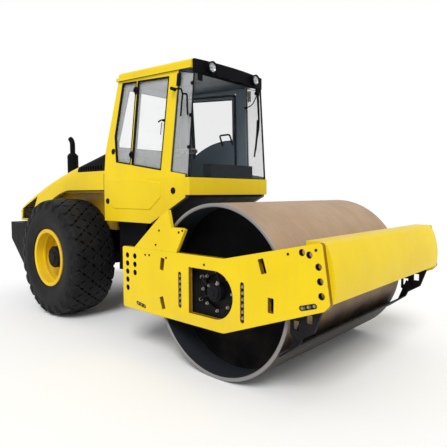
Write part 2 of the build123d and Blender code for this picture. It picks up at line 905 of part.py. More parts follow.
# Hood shell: body with the wheel arches, fenders standing proud, open below and in front
hood_corner = axle_x - hood_corner_reach
hood_tail = axle_x - hood_tail_reach
hood_crown = axle_x - hood_crown_reach
hood_shoulder = axle_x + hood_shoulder_reach
hood_arch_start = axle_x - hood_arch_start_reach
hood_arch_mid = axle_x - hood_arch_mid_reach
hood_arch_end = axle_x - hood_arch_end_reach
crease_start = axle_x + crease_start_reach
crease_mid = axle_x - crease_mid_reach
crease_end = axle_x - crease_end_reach
crease_foot = axle_x - crease_foot_reach
with BuildPart() as hood_shell:
    with BuildSketch(Plane.XZ.offset(-hood_half_width)):
        with BuildLine():
            Polyline(
                (hood_arch_end, hood_bottom),
                (hood_rear, hood_bottom),
                (hood_corner, hood_corner_z),
                (hood_tail, hood_tail_z),
            )
            ThreePointArc(
                (hood_tail, hood_tail_z), (hood_crown, hood_crown_z), (hood_shoulder, hood_shoulder_z)
            )
            Polyline(
                (hood_shoulder, hood_shoulder_z),
                (hood_front, hood_top_front),
                (hood_front, hood_arch_z),
                (hood_arch_start, hood_arch_z),
            )
            ThreePointArc(
                (hood_arch_start, hood_arch_z), (hood_arch_mid, hood_arch_mid_z), (hood_arch_end, hood_bottom)
            )
        make_face()
    extrude(amount=2 * hood_half_width)
    side_edges = hood_shell.faces().filter_by(Axis.Y).edges()
    top_edges = side_edges.filter_by(lambda edge: edge.center().Z > hood_arch_z + hood_wall)
    fillet(top_edges.filter_by(Axis.Z, reverse=True), hood_edge_radius)
    with BuildSketch(Plane.XZ.offset(-hood_half_width + hood_wall)):
        with BuildLine():
            Polyline(
                (hood_front, hood_bottom),
                (hood_rear + hood_wall, hood_bottom),
                (hood_corner + hood_wall, hood_corner_z),
                (hood_tail + hood_wall, hood_tail_z - hood_wall),
            )
            ThreePointArc(
                (hood_tail + hood_wall, hood_tail_z - hood_wall),
                (hood_crown, hood_crown_z - hood_wall),
                (hood_shoulder, hood_shoulder_z - hood_wall),
            )
            Polyline(
                (hood_shoulder, hood_shoulder_z - hood_wall),
                (hood_front, hood_top_front - hood_wall),
                (hood_front, hood_bottom),
            )
        make_face()
    extrude(amount=2 * (hood_half_width - hood_wall), mode=Mode.SUBTRACT)
    with BuildSketch(Plane.XZ.offset(hood_half_width)):
        with BuildLine():
            Polyline(
                (hood_arch_start, hood_arch_z),
                (hood_front, hood_arch_z),
                (hood_front, crease_z),
                (crease_start, crease_z),
            )
            ThreePointArc((crease_start, crease_z), (crease_mid, crease_mid_z), (crease_end, crease_end_z))
            Polyline(
                (crease_end, crease_end_z),
                (crease_foot, hood_bottom),
                (hood_arch_end, hood_bottom),
            )
            ThreePointArc(
                (hood_arch_end, hood_bottom), (hood_arch_mid, hood_arch_mid_z), (hood_arch_start, hood_arch_z)
            )
        make_face()
    fender = extrude(amount=fender_step)
    mirror(fender, about=Plane.XZ)

# The hood leaves room for the black cap at its front and the grilles at its tail
cap_rear = axle_x + cap_rear_reach
cap_middle = (cap_rear + hood_front) / 2
side_grille = [
    (axle_x - grille_rear_reach, grille_rear_z),
    (axle_x - grille_top_reach, grille_top_z),
    (axle_x - grille_foot_front_reach, grille_foot_z),
    (axle_x - grille_foot_rear_reach, grille_foot_z),
]
hood_ear_y = hood_hinge_y + face_gap
notch_width = hood_ear_thickness + panel_gap
notch_y = hood_ear_y - notch_width / 2
with BuildSketch(Plane.XZ.offset(-hood_half_width)) as cap_side:
    with Locations((cap_middle, (cap_bottom + hood_top_front) / 2)):
        Rectangle(hood_front - cap_rear, hood_top_front - cap_bottom)
with BuildPart() as hood:
    add(hood_shell.part)
    extrude(cap_side.sketch, amount=2 * hood_half_width, mode=Mode.SUBTRACT)
    with BuildSketch(Plane.XZ.offset(-hood_half_width)):
        with BuildLine():
            Polyline(*side_grille, close=True)
        make_face()
    extrude(amount=2 * hood_half_width, mode=Mode.SUBTRACT)
    with BuildSketch(Plane.YZ.offset(hood_rear)):
        with Locations((0, tail_slot_z)):
            with GridLocations(tail_slot_pitch, 0, tail_slot_count, 1):
                Rectangle(tail_slot_width, tail_slot_height)
    extrude(amount=2 * hood_wall, mode=Mode.SUBTRACT)
    with BuildSketch(Plane.XY.offset(hood_arch_z)):
        with Locations((exhaust_x, exhaust_y)):
            Circle(exhaust_can_radius)
    extrude(amount=exhaust_can_height, mode=Mode.SUBTRACT)
    with BuildSketch(Plane.XZ.offset(-hood_ear_y - hood_ear_thickness)):
        with Locations((hood_hinge_x, hood_hinge_z)):
            Circle(hood_ear_radius)
        with Locations((hood_hinge_x + hood_ear_radius, hood_hinge_z + hood_ear_radius / 2)):
            Rectangle(2 * hood_ear_radius, hood_ear_radius)
    ears = extrude(amount=hood_ear_thickness)
    mirror(ears, about=Plane.XZ)
    with BuildSketch(Plane.XZ.offset(-hood_ear_y - hood_ear_thickness)):
        with Locations((hood_hinge_x, hood_hinge_z)):
            Circle(hood_pin_radius + running_fit)
    pin_holes = extrude(amount=hood_ear_thickness, mode=Mode.SUBTRACT)
    mirror(pin_holes, about=Plane.XZ, mode=Mode.SUBTRACT)
    with BuildSketch(Plane.XY.offset(hood_bottom)):
        with Locations((hood_hinge_x, notch_y), (hood_hinge_x, -notch_y)):
            Rectangle(4 * hood_ear_radius, notch_width)
    extrude(amount=2 * hood_ear_radius, mode=Mode.SUBTRACT)
hood.part.label = "hood"
export_step(hood.part, "parts/hood.step")

# Grilles: the slotted cap over the hood's front and slats in the openings at its tail
with BuildPart() as hood_grilles:
    add(hood_shell.part)
    extrude(cap_side.sketch, amount=2 * hood_half_width, mode=Mode.INTERSECT)
    with BuildSketch(Plane.XZ.offset(-hood_half_width)):
        with Locations((cap_middle, cap_bottom + cap_slot_rise)):
            with GridLocations(cap_slot_pitch, 0, cap_slot_count, 1):
                Rectangle(cap_slot_width, cap_slot_height)
    extrude(amount=2 * hood_half_width, mode=Mode.SUBTRACT)
    with BuildSketch(Plane.XY.offset(cap_bottom)):
        with Locations((cap_middle, 0)):
            with GridLocations(cap_slot_pitch, 0, cap_slot_count, 1):
                Rectangle(cap_slot_width, cap_slot_length)
    extrude(amount=hood_top_front - cap_bottom, mode=Mode.SUBTRACT)
    with BuildSketch(Plane.XZ.offset(hood_half_width - hood_wall)):
        with Locations((axle_x - grille_foot_front_reach, (grille_foot_z + grille_top_z) / 2)):
            with GridLocations(0, grille_pitch, 1, grille_slat_count):
                Rectangle(2 * (grille_foot_rear_reach - grille_top_reach), grille_slat)
        with BuildLine():
            Polyline(*side_grille, close=True)
        make_face(mode=Mode.INTERSECT)
    slats = extrude(amount=grille_thickness)
    mirror(slats, about=Plane.XZ)
hood_grilles.part.label = "hood_grilles"
export_step(hood_grilles.part, "parts/hood_grilles.step")

# Exhaust: can through the hood's skin with a coned shoulder, and a tail pipe bent to the rear
can_base = hood_arch_z
can_top = can_base + exhaust_can_height
can_plane = Plane(origin=(exhaust_x, exhaust_y, 0), x_dir=(1, 0, 0), z_dir=(0, -1, 0))
with BuildPart() as exhaust_stack:
    with BuildSketch(can_plane):
        with BuildLine():
            Polyline(
                (0, can_base),
                (exhaust_can_radius, can_base),
                (exhaust_can_radius, can_top - exhaust_shoulder),
                (exhaust_pipe_radius + exhaust_collar, can_top),
                (0, can_top),
                close=True,
            )
        make_face()
    revolve(axis=Axis((exhaust_x, exhaust_y, 0), (0, 0, 1)))
    with BuildLine(Plane.XZ.offset(-exhaust_y)) as tail_path:
        rise = Line((exhaust_x, can_top), (exhaust_x, can_top + exhaust_rise))
        JernArc(start=rise @ 1, tangent=rise % 1, radius=exhaust_bend, arc_size=exhaust_bend_angle)
    with BuildSketch(Plane.XY.offset(can_top)):
        with Locations((exhaust_x, exhaust_y)):
            Circle(exhaust_pipe_radius)
            Circle(exhaust_pipe_radius - exhaust_pipe_wall, mode=Mode.SUBTRACT)
    sweep(path=tail_path.line)
exhaust_stack.part.label = "exhaust_stack"
export_step(exhaust_stack.part, "parts/exhaust_stack.step")

# Cab floor: flat tray, then sloped up to the apron
floor_front = cab_front - cab_wall
floor_slope = (apron_bottom - cab_floor_bottom) / (cab_front - cab_knee)
floor_front_z = cab_floor_bottom + floor_slope * (floor_front - cab_knee)
cab_inner = cab_half_width - cab_wall
with BuildPart() as cab_floor:
    with BuildSketch(Plane.XZ.offset(-cab_inner)):
        with BuildLine():
            Polyline(
                (cab_rear, cab_floor_bottom),
                (cab_knee, cab_floor_bottom),
                (floor_front, floor_front_z),
                (floor_front, floor_front_z + cab_floor_thickness),
                (cab_knee, cab_floor_bottom + cab_floor_thickness),
                (cab_rear, cab_floor_bottom + cab_floor_thickness),
                close=True,
            )
        make_face()
    extrude(amount=2 * cab_inner)
cab_floor.part.label = "cab_floor"
export_step(cab_floor.part, "parts/cab_floor.step")

with BuildPart() as cab_apron:
    with BuildSketch(Plane.YZ.offset(floor_front)):
        with Locations((0, (apron_bottom + apron_top) / 2)):
            Rectangle(2 * cab_half_width, apron_top - apron_bottom)
    extrude(amount=cab_wall)
    fillet(cab_apron.edges().filter_by(Axis.Z).sort_by(Axis.X)[-2:], apron_corner_radius)
cab_apron.part.label = "cab_apron"
export_step(cab_apron.part, "parts/cab_apron.step")

# Cab sides: upright below the fold with a raised panel, leaning in above it round the windows
lean_cos = cos(radians(cab_lean))
lean_tan = tan(radians(cab_lean))
leaning = Plane(
    origin=(0, -cab_half_width, cab_fold_z),
    x_dir=(1, 0, 0),
    z_dir=(0, -lean_cos, sin(radians(cab_lean))),
)
belt_fall = (belt_front_z - belt_rear_z) / (floor_front - window_rear_x)
roof_fall = (roof_front_bottom - roof_rear_bottom) / (roof_front_x - roof_rear_x)
side_top_rear_x = roof_rear_x + roof_rear_lip
belt_rops_rear = belt_rear_z + belt_fall * (rops_rear_x - window_rear_x)
belt_rops_front = belt_rear_z + belt_fall * (rops_front_x - window_rear_x)
belt_bar = belt_rear_z + belt_fall * (window_bar_x - window_rear_x)
top_fall = (window_top_front_z - window_top_rear_z) / (rops_rear_top_x - window_top_rear_x)
top_bar = window_top_rear_z + top_fall * (window_bar_top_x - window_top_rear_x)
side_top_rear = roof_rear_bottom + roof_fall * (side_top_rear_x - roof_rear_x) - face_gap
side_top_front = roof_rear_bottom + roof_fall * (rops_front_top_x - roof_rear_x) - face_gap


# Height on the leaning wall, measured along its slope from the fold
def up(z):
    return (z - cab_fold_z) / lean_cos


upper_wall = [
    (cab_rear, 0),
    (floor_front, 0),
    (floor_front, up(belt_front_z)),
    (rops_front_x, up(belt_rops_front)),
    (rops_front_top_x, up(side_top_front)),
    (side_top_rear_x, up(side_top_rear)),
    (cab_rear, up(hood_top_front)),
]
lower_wall = [
    (cab_rear, cab_floor_bottom),
    (cab_knee, cab_floor_bottom),
    (floor_front, floor_front_z),
    (floor_front, cab_fold_z),
    (cab_rear, cab_fold_z),
]
rear_pane = [
    (window_rear_x, up(belt_rear_z)),
    (window_bar_x, up(belt_bar)),
    (window_bar_top_x, up(top_bar)),
    (window_top_rear_x, up(window_top_rear_z)),
    (window_kink_x, up(window_kink_z)),
]
main_pane = [
    (window_bar_x + window_bar_width, up(belt_bar + belt_fall * window_bar_width)),
    (rops_rear_x, up(belt_rops_rear)),
    (rops_rear_top_x, up(window_top_front_z)),
    (window_bar_top_x + window_bar_width, up(top_bar + top_fall * window_bar_width)),
]
side_pad = [
    (axle_x + pad_rear_reach, pad_top),
    (axle_x + pad_rear_reach, pad_bottom + pad_corner),
    (axle_x + pad_rear_reach + 2 * pad_corner, pad_bottom),
    (cab_front - pad_slope_setback, pad_bottom),
    (cab_front - pad_front_setback, pad_slope_z),
    (cab_front - pad_front_setback, pad_front_z),
    (cab_front - pad_crest_setback, pad_top),
]
with BuildPart() as cab_side_right:
    with BuildSketch(Plane.XZ.offset(cab_half_width)):
        with BuildLine():
            Polyline(*lower_wall, close=True)
        make_face()
    extrude(amount=-cab_wall)
    with BuildSketch(leaning):
        with BuildLine():
            Polyline(*upper_wall, close=True)
        make_face()
        with BuildLine():
            Polyline(*rear_pane, close=True)
        make_face(mode=Mode.SUBTRACT)
        with BuildLine():
            Polyline(*main_pane, close=True)
        make_face(mode=Mode.SUBTRACT)
    extrude(amount=-cab_wall)
    with BuildSketch(Plane.XZ.offset(cab_half_width)):
        with BuildLine():
            Polyline(*side_pad, close=True)
        make_face()
    extrude(amount=pad_height, taper=pad_taper)
cab_side_right.part.label = "cab_side_right"
export_step(cab_side_right.part, "parts/cab_side_right.step")

# The door's edges: along the rear pillar at its hinges, along the main pillar in front
door_rear_x = door_hinge_x + door_gap / 2
opening_rear_x = door_rear_x - door_gap
opening_top_x = window_top_rear_x - door_header
top_door = window_top_rear_z - top_fall * door_header
opening_lower = [
    (opening_rear_x, door_bottom - door_gap),
    (rops_rear_x, door_bottom - door_gap),
    (rops_rear_x, cab_fold_z),
    (opening_rear_x, cab_fold_z),
]
opening_upper = [
    (opening_rear_x, 0),
    (rops_rear_x, 0),
    (rops_rear_x, up(belt_rops_rear)),
    (rops_rear_top_x, up(window_top_front_z)),
    (opening_top_x, up(top_door)),
    (opening_rear_x, up(window_kink_z)),
]
hinge_y = cab_half_width + hinge_offset
with BuildPart() as cab_side_left:
    with BuildSketch(Plane.XZ.offset(cab_half_width)):
        with BuildLine():
            Polyline(*lower_wall, close=True)
        make_face()
        with BuildLine():
            Polyline(*opening_lower, close=True)
        make_face(mode=Mode.SUBTRACT)
    extrude(amount=-cab_wall)
    with BuildSketch(leaning):
        with BuildLine():
            Polyline(*upper_wall, close=True)
        make_face()
        with BuildLine():
            Polyline(*opening_upper, close=True)
        make_face(mode=Mode.SUBTRACT)
    extrude(amount=-cab_wall)
    with BuildSketch(Plane.XY.offset(hinge_low_z), Plane.XY.offset(hinge_high_z)):
        with Locations((door_hinge_x, -hinge_y)):
            Circle(hinge_radius)
        with Locations((door_hinge_x - door_gap, -hinge_y + hinge_offset / 2)):
            Rectangle(2 * door_gap, hinge_offset)
    extrude(amount=-hinge_height / 2)
    with BuildSketch(Plane.XY.offset(hinge_low_z), Plane.XY.offset(hinge_high_z)):
        with Locations((door_hinge_x, -hinge_y)):
            Circle(hinge_pin_radius)
    extrude(amount=hinge_height)
    mirror(about=Plane.XZ, mode=Mode.REPLACE)
cab_side_left.part.label = "cab_side_left"
export_step(cab_side_left.part, "parts/cab_side_left.step")

# Left door, hung on the rear pillar's pins, its window arched below
door_front_x = rops_rear_x - door_gap
door_front_top_x = rops_rear_top_x - door_gap
door_top_z = window_top_front_z - door_gap
door_lean = (door_front_top_x - door_front_x) / (door_top_z - belt_rops_rear)
pane_rear_x = door_rear_x + door_frame
pane_front_x = door_front_x - door_frame
pane_corner_x = pane_front_x + door_lean * (door_pane_front_z - belt_rops_rear)
door_lower = [
    (door_rear_x, door_bottom),
    (door_front_x, door_bottom),
    (door_front_x, cab_fold_z),
    (door_rear_x, cab_fold_z),
]
door_upper = [
    (door_rear_x, 0),
    (door_front_x, 0),
    (door_front_x, up(belt_rops_rear)),
    (door_front_top_x, up(door_top_z)),
    (opening_top_x + door_gap, up(top_door - door_gap)),
    (door_rear_x, up(window_kink_z)),
]
with BuildSketch(leaning) as door_window:
    with BuildLine():
        ThreePointArc(
            (pane_rear_x, up(door_pane_rear_z)),
            ((pane_rear_x + pane_corner_x) / 2, up(door_pane_mid_z)),
            (pane_corner_x, up(door_pane_front_z)),
        )
        Polyline(
            (pane_corner_x, up(door_pane_front_z)),
            (door_front_top_x - door_frame, up(door_top_z - door_frame)),
            (opening_top_x + door_gap + door_frame, up(top_door - door_gap - door_frame)),
            (pane_rear_x, up(window_kink_z)),
            (pane_rear_x, up(door_pane_rear_z)),
        )
    make_face()
with BuildPart() as door_left:
    with BuildSketch(Plane.XZ.offset(cab_half_width)):
        with BuildLine():
            Polyline(*door_lower, close=True)
        make_face()
    extrude(amount=-cab_wall)
    with BuildSketch(leaning):
        with BuildLine():
            Polyline(*door_upper, close=True)
        make_face()
    extrude(amount=-cab_wall)
    extrude(door_window.sketch, amount=-cab_wall, mode=Mode.SUBTRACT)
    with BuildSketch(
        Plane.XY.offset(hinge_low_z + face_gap), Plane.XY.offset(hinge_high_z + face_gap)
    ):
        with Locations((door_hinge_x, -hinge_y)):
            Circle(hinge_radius)
        with Locations((door_hinge_x + door_gap, -hinge_y + hinge_offset / 2)):
            Rectangle(2 * door_gap, hinge_offset)
        with Locations((door_hinge_x, -hinge_y)):
            Circle(hinge_pin_radius + running_fit, mode=Mode.SUBTRACT)
    extrude(amount=hinge_height - face_gap)
    with BuildSketch(Plane.XZ.offset(cab_half_width)):
        with Locations(((door_rear_x + door_front_x) / 2, (door_bottom + cab_fold_z) / 2)):
            Rectangle(
                door_front_x - door_rear_x - 2 * door_pad_inset, cab_fold_z - door_bottom - 2 * door_pad_inset
            )
    extrude(amount=pad_height, taper=pad_taper)
    with BuildSketch(Plane.XZ.offset(cab_half_width + pad_height)):
        with Locations((door_front_x - door_pad_inset - handle_inset - handle_length / 2, handle_z)):
            Rectangle(handle_length, handle_height)
    extrude(amount=handle_depth)
    mirror(about=Plane.XZ, mode=Mode.REPLACE)
door_left.part.label = "door_left"
export_step(door_left.part, "parts/door_left.step")

# Glass, let into the middle of each wall
pane_depth = (cab_wall + glass_thickness) / 2
pane_plane = leaning.offset(-pane_depth)
with BuildPart() as door_glass:
    extrude(door_window.sketch.moved(Location(leaning.z_dir * -pane_depth)), amount=glass_thickness)
    mirror(about=Plane.XZ, mode=Mode.REPLACE)
door_glass.part.label = "door_glass"
export_step(door_glass.part, "parts/door_glass.step")

with BuildPart() as side_glass_right:
    with BuildSketch(pane_plane):
        with BuildLine():
            Polyline(*rear_pane, close=True)
        make_face()
        with BuildLine():
            Polyline(*main_pane, close=True)
        make_face()
    extrude(amount=glass_thickness)
side_glass_right.part.label = "side_glass_right"
export_step(side_glass_right.part, "parts/side_glass_right.step")

# Windshield on the apron, and the corner panes between it and the pillars
screen_x = cab_front - cab_wall / 2
corner_top = roof_rear_bottom + roof_fall * (screen_x - roof_rear_x) - face_gap
corner_rear_top = up(side_top_front)
corner_pane = [
    (rops_front_x, up(belt_rops_front)),
    (floor_front, up(belt_front_z)),
    (floor_front, up(apron_top + glass_thickness)),
    (screen_x, up(apron_top + glass_thickness)),
    (screen_x, up(visor_bottom)),
    (floor_front, up(visor_bottom)),
    (rops_front_top_x, corner_rear_top),
]
with BuildPart() as corner_glass:
    with BuildSketch(pane_plane):
        with BuildLine():
            Polyline(*corner_pane, close=True)
        make_face()
    extrude(amount=glass_thickness)
    mirror(about=Plane.XZ)
corner_glass.part.label = "corner_glass"
export_step(corner_glass.part, "parts/corner_glass.step")

screen_bottom_y = cab_half_width - cab_wall / 2 + glass_thickness
screen_top_y = screen_bottom_y - (visor_bottom - apron_top) * lean_tan
with BuildPart() as windshield:
    with BuildSketch(Plane.YZ.offset(screen_x)):
        with BuildLine():
            Polyline(
                (-screen_bottom_y, apron_top),
                (screen_bottom_y, apron_top),
                (screen_top_y, visor_bottom),
                (-screen_top_y, visor_bottom),
                close=True,
            )
        make_face()
    extrude(amount=glass_thickness)
windshield.part.label = "windshield"
export_step(windshield.part, "parts/windshield.step")

# Cab rear: low bulkhead and a leaning frame round the rear window
rear_run = side_top_rear_x - cab_rear
rear_rise = side_top_rear - hood_top_front
rear_length = hypot(rear_run, rear_rise)
rear_leaning = Plane(
    origin=(cab_rear, 0, hood_top_front), x_dir=(0, -1, 0), z_dir=(-rear_rise, 0, rear_run)
)
rear_low_y = cab_inner - (hood_top_front - cab_fold_z) * lean_tan - panel_gap
rear_top_y = cab_inner - (side_top_rear - cab_fold_z) * lean_tan - panel_gap
bulkhead_y = rear_low_y
rear_window = [
    (-rear_low_y + rear_frame_width, rear_frame_width),
    (rear_low_y - rear_frame_width, rear_frame_width),
    (rear_top_y - rear_frame_width, rear_length - rear_frame_width),
    (-rear_top_y + rear_frame_width, rear_length - rear_frame_width),
]
with BuildPart() as cab_rear_wall:
    with BuildSketch(Plane.YZ.offset(cab_rear)):
        with BuildLine():
            Polyline(
                (-cab_inner, cab_floor_bottom + cab_floor_thickness),
                (cab_inner, cab_floor_bottom + cab_floor_thickness),
                (cab_inner, cab_fold_z - panel_gap),
                (rear_low_y, hood_top_front),
                (-rear_low_y, hood_top_front),
                (-cab_inner, cab_fold_z - panel_gap),
                close=True,
            )
        make_face()
    extrude(amount=cab_wall)
    with BuildSketch(rear_leaning):
        with BuildLine():
            Polyline(
                (-rear_low_y, 0),
                (rear_low_y, 0),
                (rear_top_y, rear_length),
                (-rear_top_y, rear_length),
                close=True,
            )
        make_face()
        with BuildLine():
            Polyline(*rear_window, close=True)
        make_face(mode=Mode.SUBTRACT)
    extrude(amount=-cab_wall)
cab_rear_wall.part.label = "cab_rear_wall"
export_step(cab_rear_wall.part, "parts/cab_rear_wall.step")

with BuildPart() as rear_glass:
    with BuildSketch(rear_leaning.offset(-pane_depth)):
        with BuildLine():
            Polyline(*rear_window, close=True)
        make_face()
    extrude(amount=glass_thickness)
rear_glass.part.label = "rear_glass"
export_step(rear_glass.part, "parts/rear_glass.step")

# Roof: a lip over the walls and a crown set in above it
with BuildPart() as cab_roof:
    with BuildSketch(Plane.XZ.offset(-roof_half_width)):
        with BuildLine():
            Polyline(
                (roof_rear_x, roof_rear_bottom),
                (roof_front_x, roof_front_bottom),
                (roof_front_x, roof_front_bottom + roof_lip),
                (roof_rear_x, roof_rear_bottom + roof_lip),
                close=True,
            )
        make_face()
    extrude(amount=2 * roof_half_width)
    with BuildSketch(Plane.XZ.offset(-roof_half_width + roof_inset)):
        with BuildLine():
            Polyline(
                (roof_rear_x + roof_inset, roof_rear_bottom + roof_lip + roof_fall * roof_inset),
                (roof_front_x, roof_front_bottom + roof_lip),
                (roof_front_x, roof_front_bottom + roof_thickness),
                (roof_rear_x + roof_inset, roof_rear_bottom + roof_thickness + roof_fall * roof_inset),
                close=True,
            )
        make_face()
    extrude(amount=2 * (roof_half_width - roof_inset))
    fillet(cab_roof.edges().filter_by(Axis.Z).sort_by(Axis.X)[2:4], roof_corner_radius)
    crown_edges = cab_roof.faces().sort_by(Axis.Z)[-1].edges().sort_by(Axis.X)[:-1]
    fillet(crown_edges, roof_edge_radius)
cab_roof.part.label = "cab_roof"
export_step(cab_roof.part, "parts/cab_roof.step")

# Dark visor across the roof's front with tabs over the windshield and pods for the work lamps
lamp_z = visor_bottom + visor_height / 2
lamp_back = roof_front_x + lamp_reach - lamp_depth
lamp_face = roof_front_x + lamp_reach - lamp_recess
tab_x = screen_x + glass_thickness + face_gap + visor_tab_thickness / 2
with BuildPart() as roof_visor:
    with BuildSketch(Plane.XY.offset(visor_bottom)):
        with BuildLine():
            Polyline(
                (roof_front_x + visor_end, visor_half_width),
                (roof_front_x, visor_half_width),
                (roof_front_x, -visor_half_width),
                (roof_front_x + visor_end, -visor_half_width),
            )
            ThreePointArc(
                (roof_front_x + visor_end, -visor_half_width),
                (roof_front_x + visor_bow, 0),
                (roof_front_x + visor_end, visor_half_width),
            )
        make_face()
    extrude(amount=visor_height)
    with BuildSketch(Plane.XY.offset(visor_tab_bottom)):
        with Locations((tab_x, visor_tab_y), (tab_x, -visor_tab_y)):
            Rectangle(visor_tab_thickness, visor_tab_width)
    extrude(amount=visor_bottom - visor_tab_bottom)
    with BuildSketch(Plane.YZ.offset(roof_front_x)):
        with Locations((lamp_y, lamp_z), (-lamp_y, lamp_z)):
            Circle(lamp_radius + lamp_pod_wall)
    extrude(amount=lamp_reach)
    with BuildSketch(Plane.YZ.offset(lamp_back)):
        with Locations((lamp_y, lamp_z), (-lamp_y, lamp_z)):
            Circle(lamp_radius)
    extrude(amount=lamp_depth, mode=Mode.SUBTRACT)
roof_visor.part.label = "roof_visor"
export_step(roof_visor.part, "parts/roof_visor.step")

with BuildPart() as work_lamps:
    with BuildSketch(Plane.YZ.offset(lamp_back)):
        with Locations((lamp_y, lamp_z), (-lamp_y, lamp_z)):
            Circle(lamp_radius)
    extrude(amount=lamp_face - lamp_back)
    with BuildSketch(Plane.YZ.offset(lamp_face)):
        with Locations((lamp_y, lamp_z), (-lamp_y, lamp_z)):
            Circle(lamp_radius - lamp_rim)
    extrude(amount=-lamp_bowl, mode=Mode.SUBTRACT)
work_lamps.part.label = "work_lamps"
export_step(work_lamps.part, "parts/work_lamps.step")

# Mirror arm, bent from tube, on the right main pillar
arm_foot_point = (cab_front - mirror_foot_setback, mirror_foot_z)
arm_drop_point = (cab_front - mirror_drop_setback, mirror_drop_z)
inner_leg = Vector(mirror_drop_setback - mirror_inner_tip_setback, 0, mirror_tip_z - mirror_drop_z)
with BuildPart() as mirror_arm:
    with BuildLine(Plane.XZ.offset(mirror_y)) as arm_path:
        FilletPolyline(
            arm_foot_point,
            (cab_front - mirror_arm_setback, mirror_arm_z),
            arm_drop_point,
            (cab_front - mirror_leg_setback, mirror_leg_z),
            (cab_front - mirror_tip_setback, mirror_tip_z),
            radius=mirror_bend,
        )
    with BuildSketch(Plane(origin=arm_path.line @ 0, z_dir=arm_path.line % 0)):
        Circle(mirror_tube)
    sweep(path=arm_path.line)
    with BuildSketch(Plane(origin=(arm_drop_point[0], -mirror_y, arm_drop_point[1]), z_dir=inner_leg)):
        Circle(mirror_tube)
    extrude(amount=inner_leg.length)
    with BuildSketch(leaning):
        with Locations((arm_foot_point[0], up(mirror_foot_z))):
            Circle(2 * mirror_tube)
    extrude(amount=mirror_stand)
mirror_arm.part.label = "mirror_arm"
export_step(mirror_arm.part, "parts/mirror_arm.step")

# Grab rails beside the door
rail_top_y = cab_half_width - (rail_high_z - rail_tube - cab_fold_z) * lean_tan
with BuildPart() as grab_rails:
    for rail_x in (axle_x + rail_rear_reach, cab_front - rail_front_setback):
        with BuildLine(Plane.YZ.offset(rail_x)) as rail_path:
            FilletPolyline(
                (cab_half_width, rail_low_z),
                (cab_half_width + rail_stand, rail_low_z),
                (cab_half_width + rail_stand, rail_high_z),
                (rail_top_y, rail_high_z),
                radius=rail_bend,
            )
        with BuildSketch(Plane(origin=rail_path.line @ 0, z_dir=rail_path.line % 0)):
            Circle(rail_tube)
        sweep(path=rail_path.line)
grab_rails.part.label = "grab_rails"
export_step(grab_rails.part, "parts/grab_rails.step")

# Rubber mounts between the rails and the cab floor
mount_run = chassis_front - cab_rear - 4 * mount_radius
with BuildPart() as cab_mounts:
    with BuildSketch(Plane.XY.offset(chassis_top)):
        with Locations(((cab_rear + chassis_front) / 2, 0)):
            with GridLocations(mount_run, 2 * chassis_y - chassis_wall, 2, 2):
                Circle(mount_radius)
    extrude(amount=cab_floor_bottom - chassis_top)
cab_mounts.part.label = "cab_mounts"
export_step(cab_mounts.part, "parts/cab_mounts.step")

# Steps below the door, hung from the floor's edge outside the skirt
step_front = chassis_front + step_lead
step_depth = step_y - skirt_y - skirt_thickness
with BuildPart() as cab_steps:
    with BuildSketch(Plane.YZ.offset(step_front - step_length)):
        with Locations((step_y - step_depth / 2, (step_bottom + cab_floor_bottom) / 2)):
            Rectangle(step_depth, cab_floor_bottom - step_bottom)
    extrude(amount=step_wall)
    with BuildSketch(Plane.YZ.offset(step_front - step_wall)):
        with Locations((step_y - step_depth / 2, (step_bottom + cab_floor_bottom) / 2)):
            Rectangle(step_depth, cab_floor_bottom - step_bottom)
    extrude(amount=step_wall)
    with BuildSketch(Plane.XY.offset(step_bottom), Plane.XY.offset(step_bottom + step_pitch)):
        with Locations((step_front - step_length / 2, step_y - step_depth / 2)):
            Rectangle(step_length, step_depth)
    extrude(amount=step_wall)
cab_steps.part.label = "cab_steps"
export_step(cab_steps.part, "parts/cab_steps.step")

# Operator's seat on its pedestal
floor_top = cab_floor_bottom + cab_floor_thickness
cushion_bottom = seat_height - cushion_thickness
with BuildPart() as seat_pedestal:
    with BuildSketch(Plane.XY.offset(floor_top)):
        with Locations((seat_x, seat_y)):
            Rectangle(pedestal_width, pedestal_width)
    extrude(amount=cushion_bottom - floor_top)
seat_pedestal.part.label = "seat_pedestal"
export_step(seat_pedestal.part, "parts/seat_pedestal.step")

with BuildPart() as seat_cushion:
    with BuildSketch(Plane.XY.offset(cushion_bottom)):
        with Locations((seat_x, seat_y)):
            RectangleRounded(seat_depth, seat_width, cushion_thickness / 2)
    extrude(amount=cushion_thickness)
seat_cushion.part.label = "seat_cushion"
export_step(seat_cushion.part, "parts/seat_cushion.step")

seat_back_x = seat_x - seat_depth / 2
with BuildPart() as seat_back:
    with BuildSketch(Plane.YZ.offset(seat_back_x)):
        with Locations((seat_y, seat_height + back_height / 2)):
            RectangleRounded(seat_width, back_height, back_thickness / 2)
    extrude(amount=back_thickness)
seat_back.part.label = "seat_back"
export_step(seat_back.part, "parts/seat_back.step")

# Steering column with its wheel, and the dash box behind the windshield
steering_z = seat_height + steering_rise
column_x = seat_x + seat_depth / 2 + column_reach
column_plane = Plane(
    origin=(column_x, seat_y, steering_z),
    x_dir=(0, 1, 0),
    z_dir=(-sin(radians(steering_tilt)), 0, cos(radians(steering_tilt))),
)
with BuildPart() as dashboard:
    with BuildSketch(Plane.XZ.offset(-dash_y - dash_half_width)):
        with BuildLine():
            Polyline(
                (floor_front, floor_front_z + cab_floor_thickness),
                (floor_front, dash_top),
                (floor_front - dash_depth, dash_top),
                (floor_front - dash_depth, floor_front_z + cab_floor_thickness),
                close=True,
            )
        make_face()
    extrude(amount=2 * dash_half_width)
dashboard.part.label = "dashboard"
export_step(dashboard.part, "parts/dashboard.step")

with BuildPart() as steering_column:
    with BuildSketch(column_plane):
        Circle(column_radius)
    extrude(until=Until.NEXT, target=cab_floor.part, dir=-column_plane.z_dir)
steering_column.part.label = "steering_column"
export_step(steering_column.part, "parts/steering_column.step")

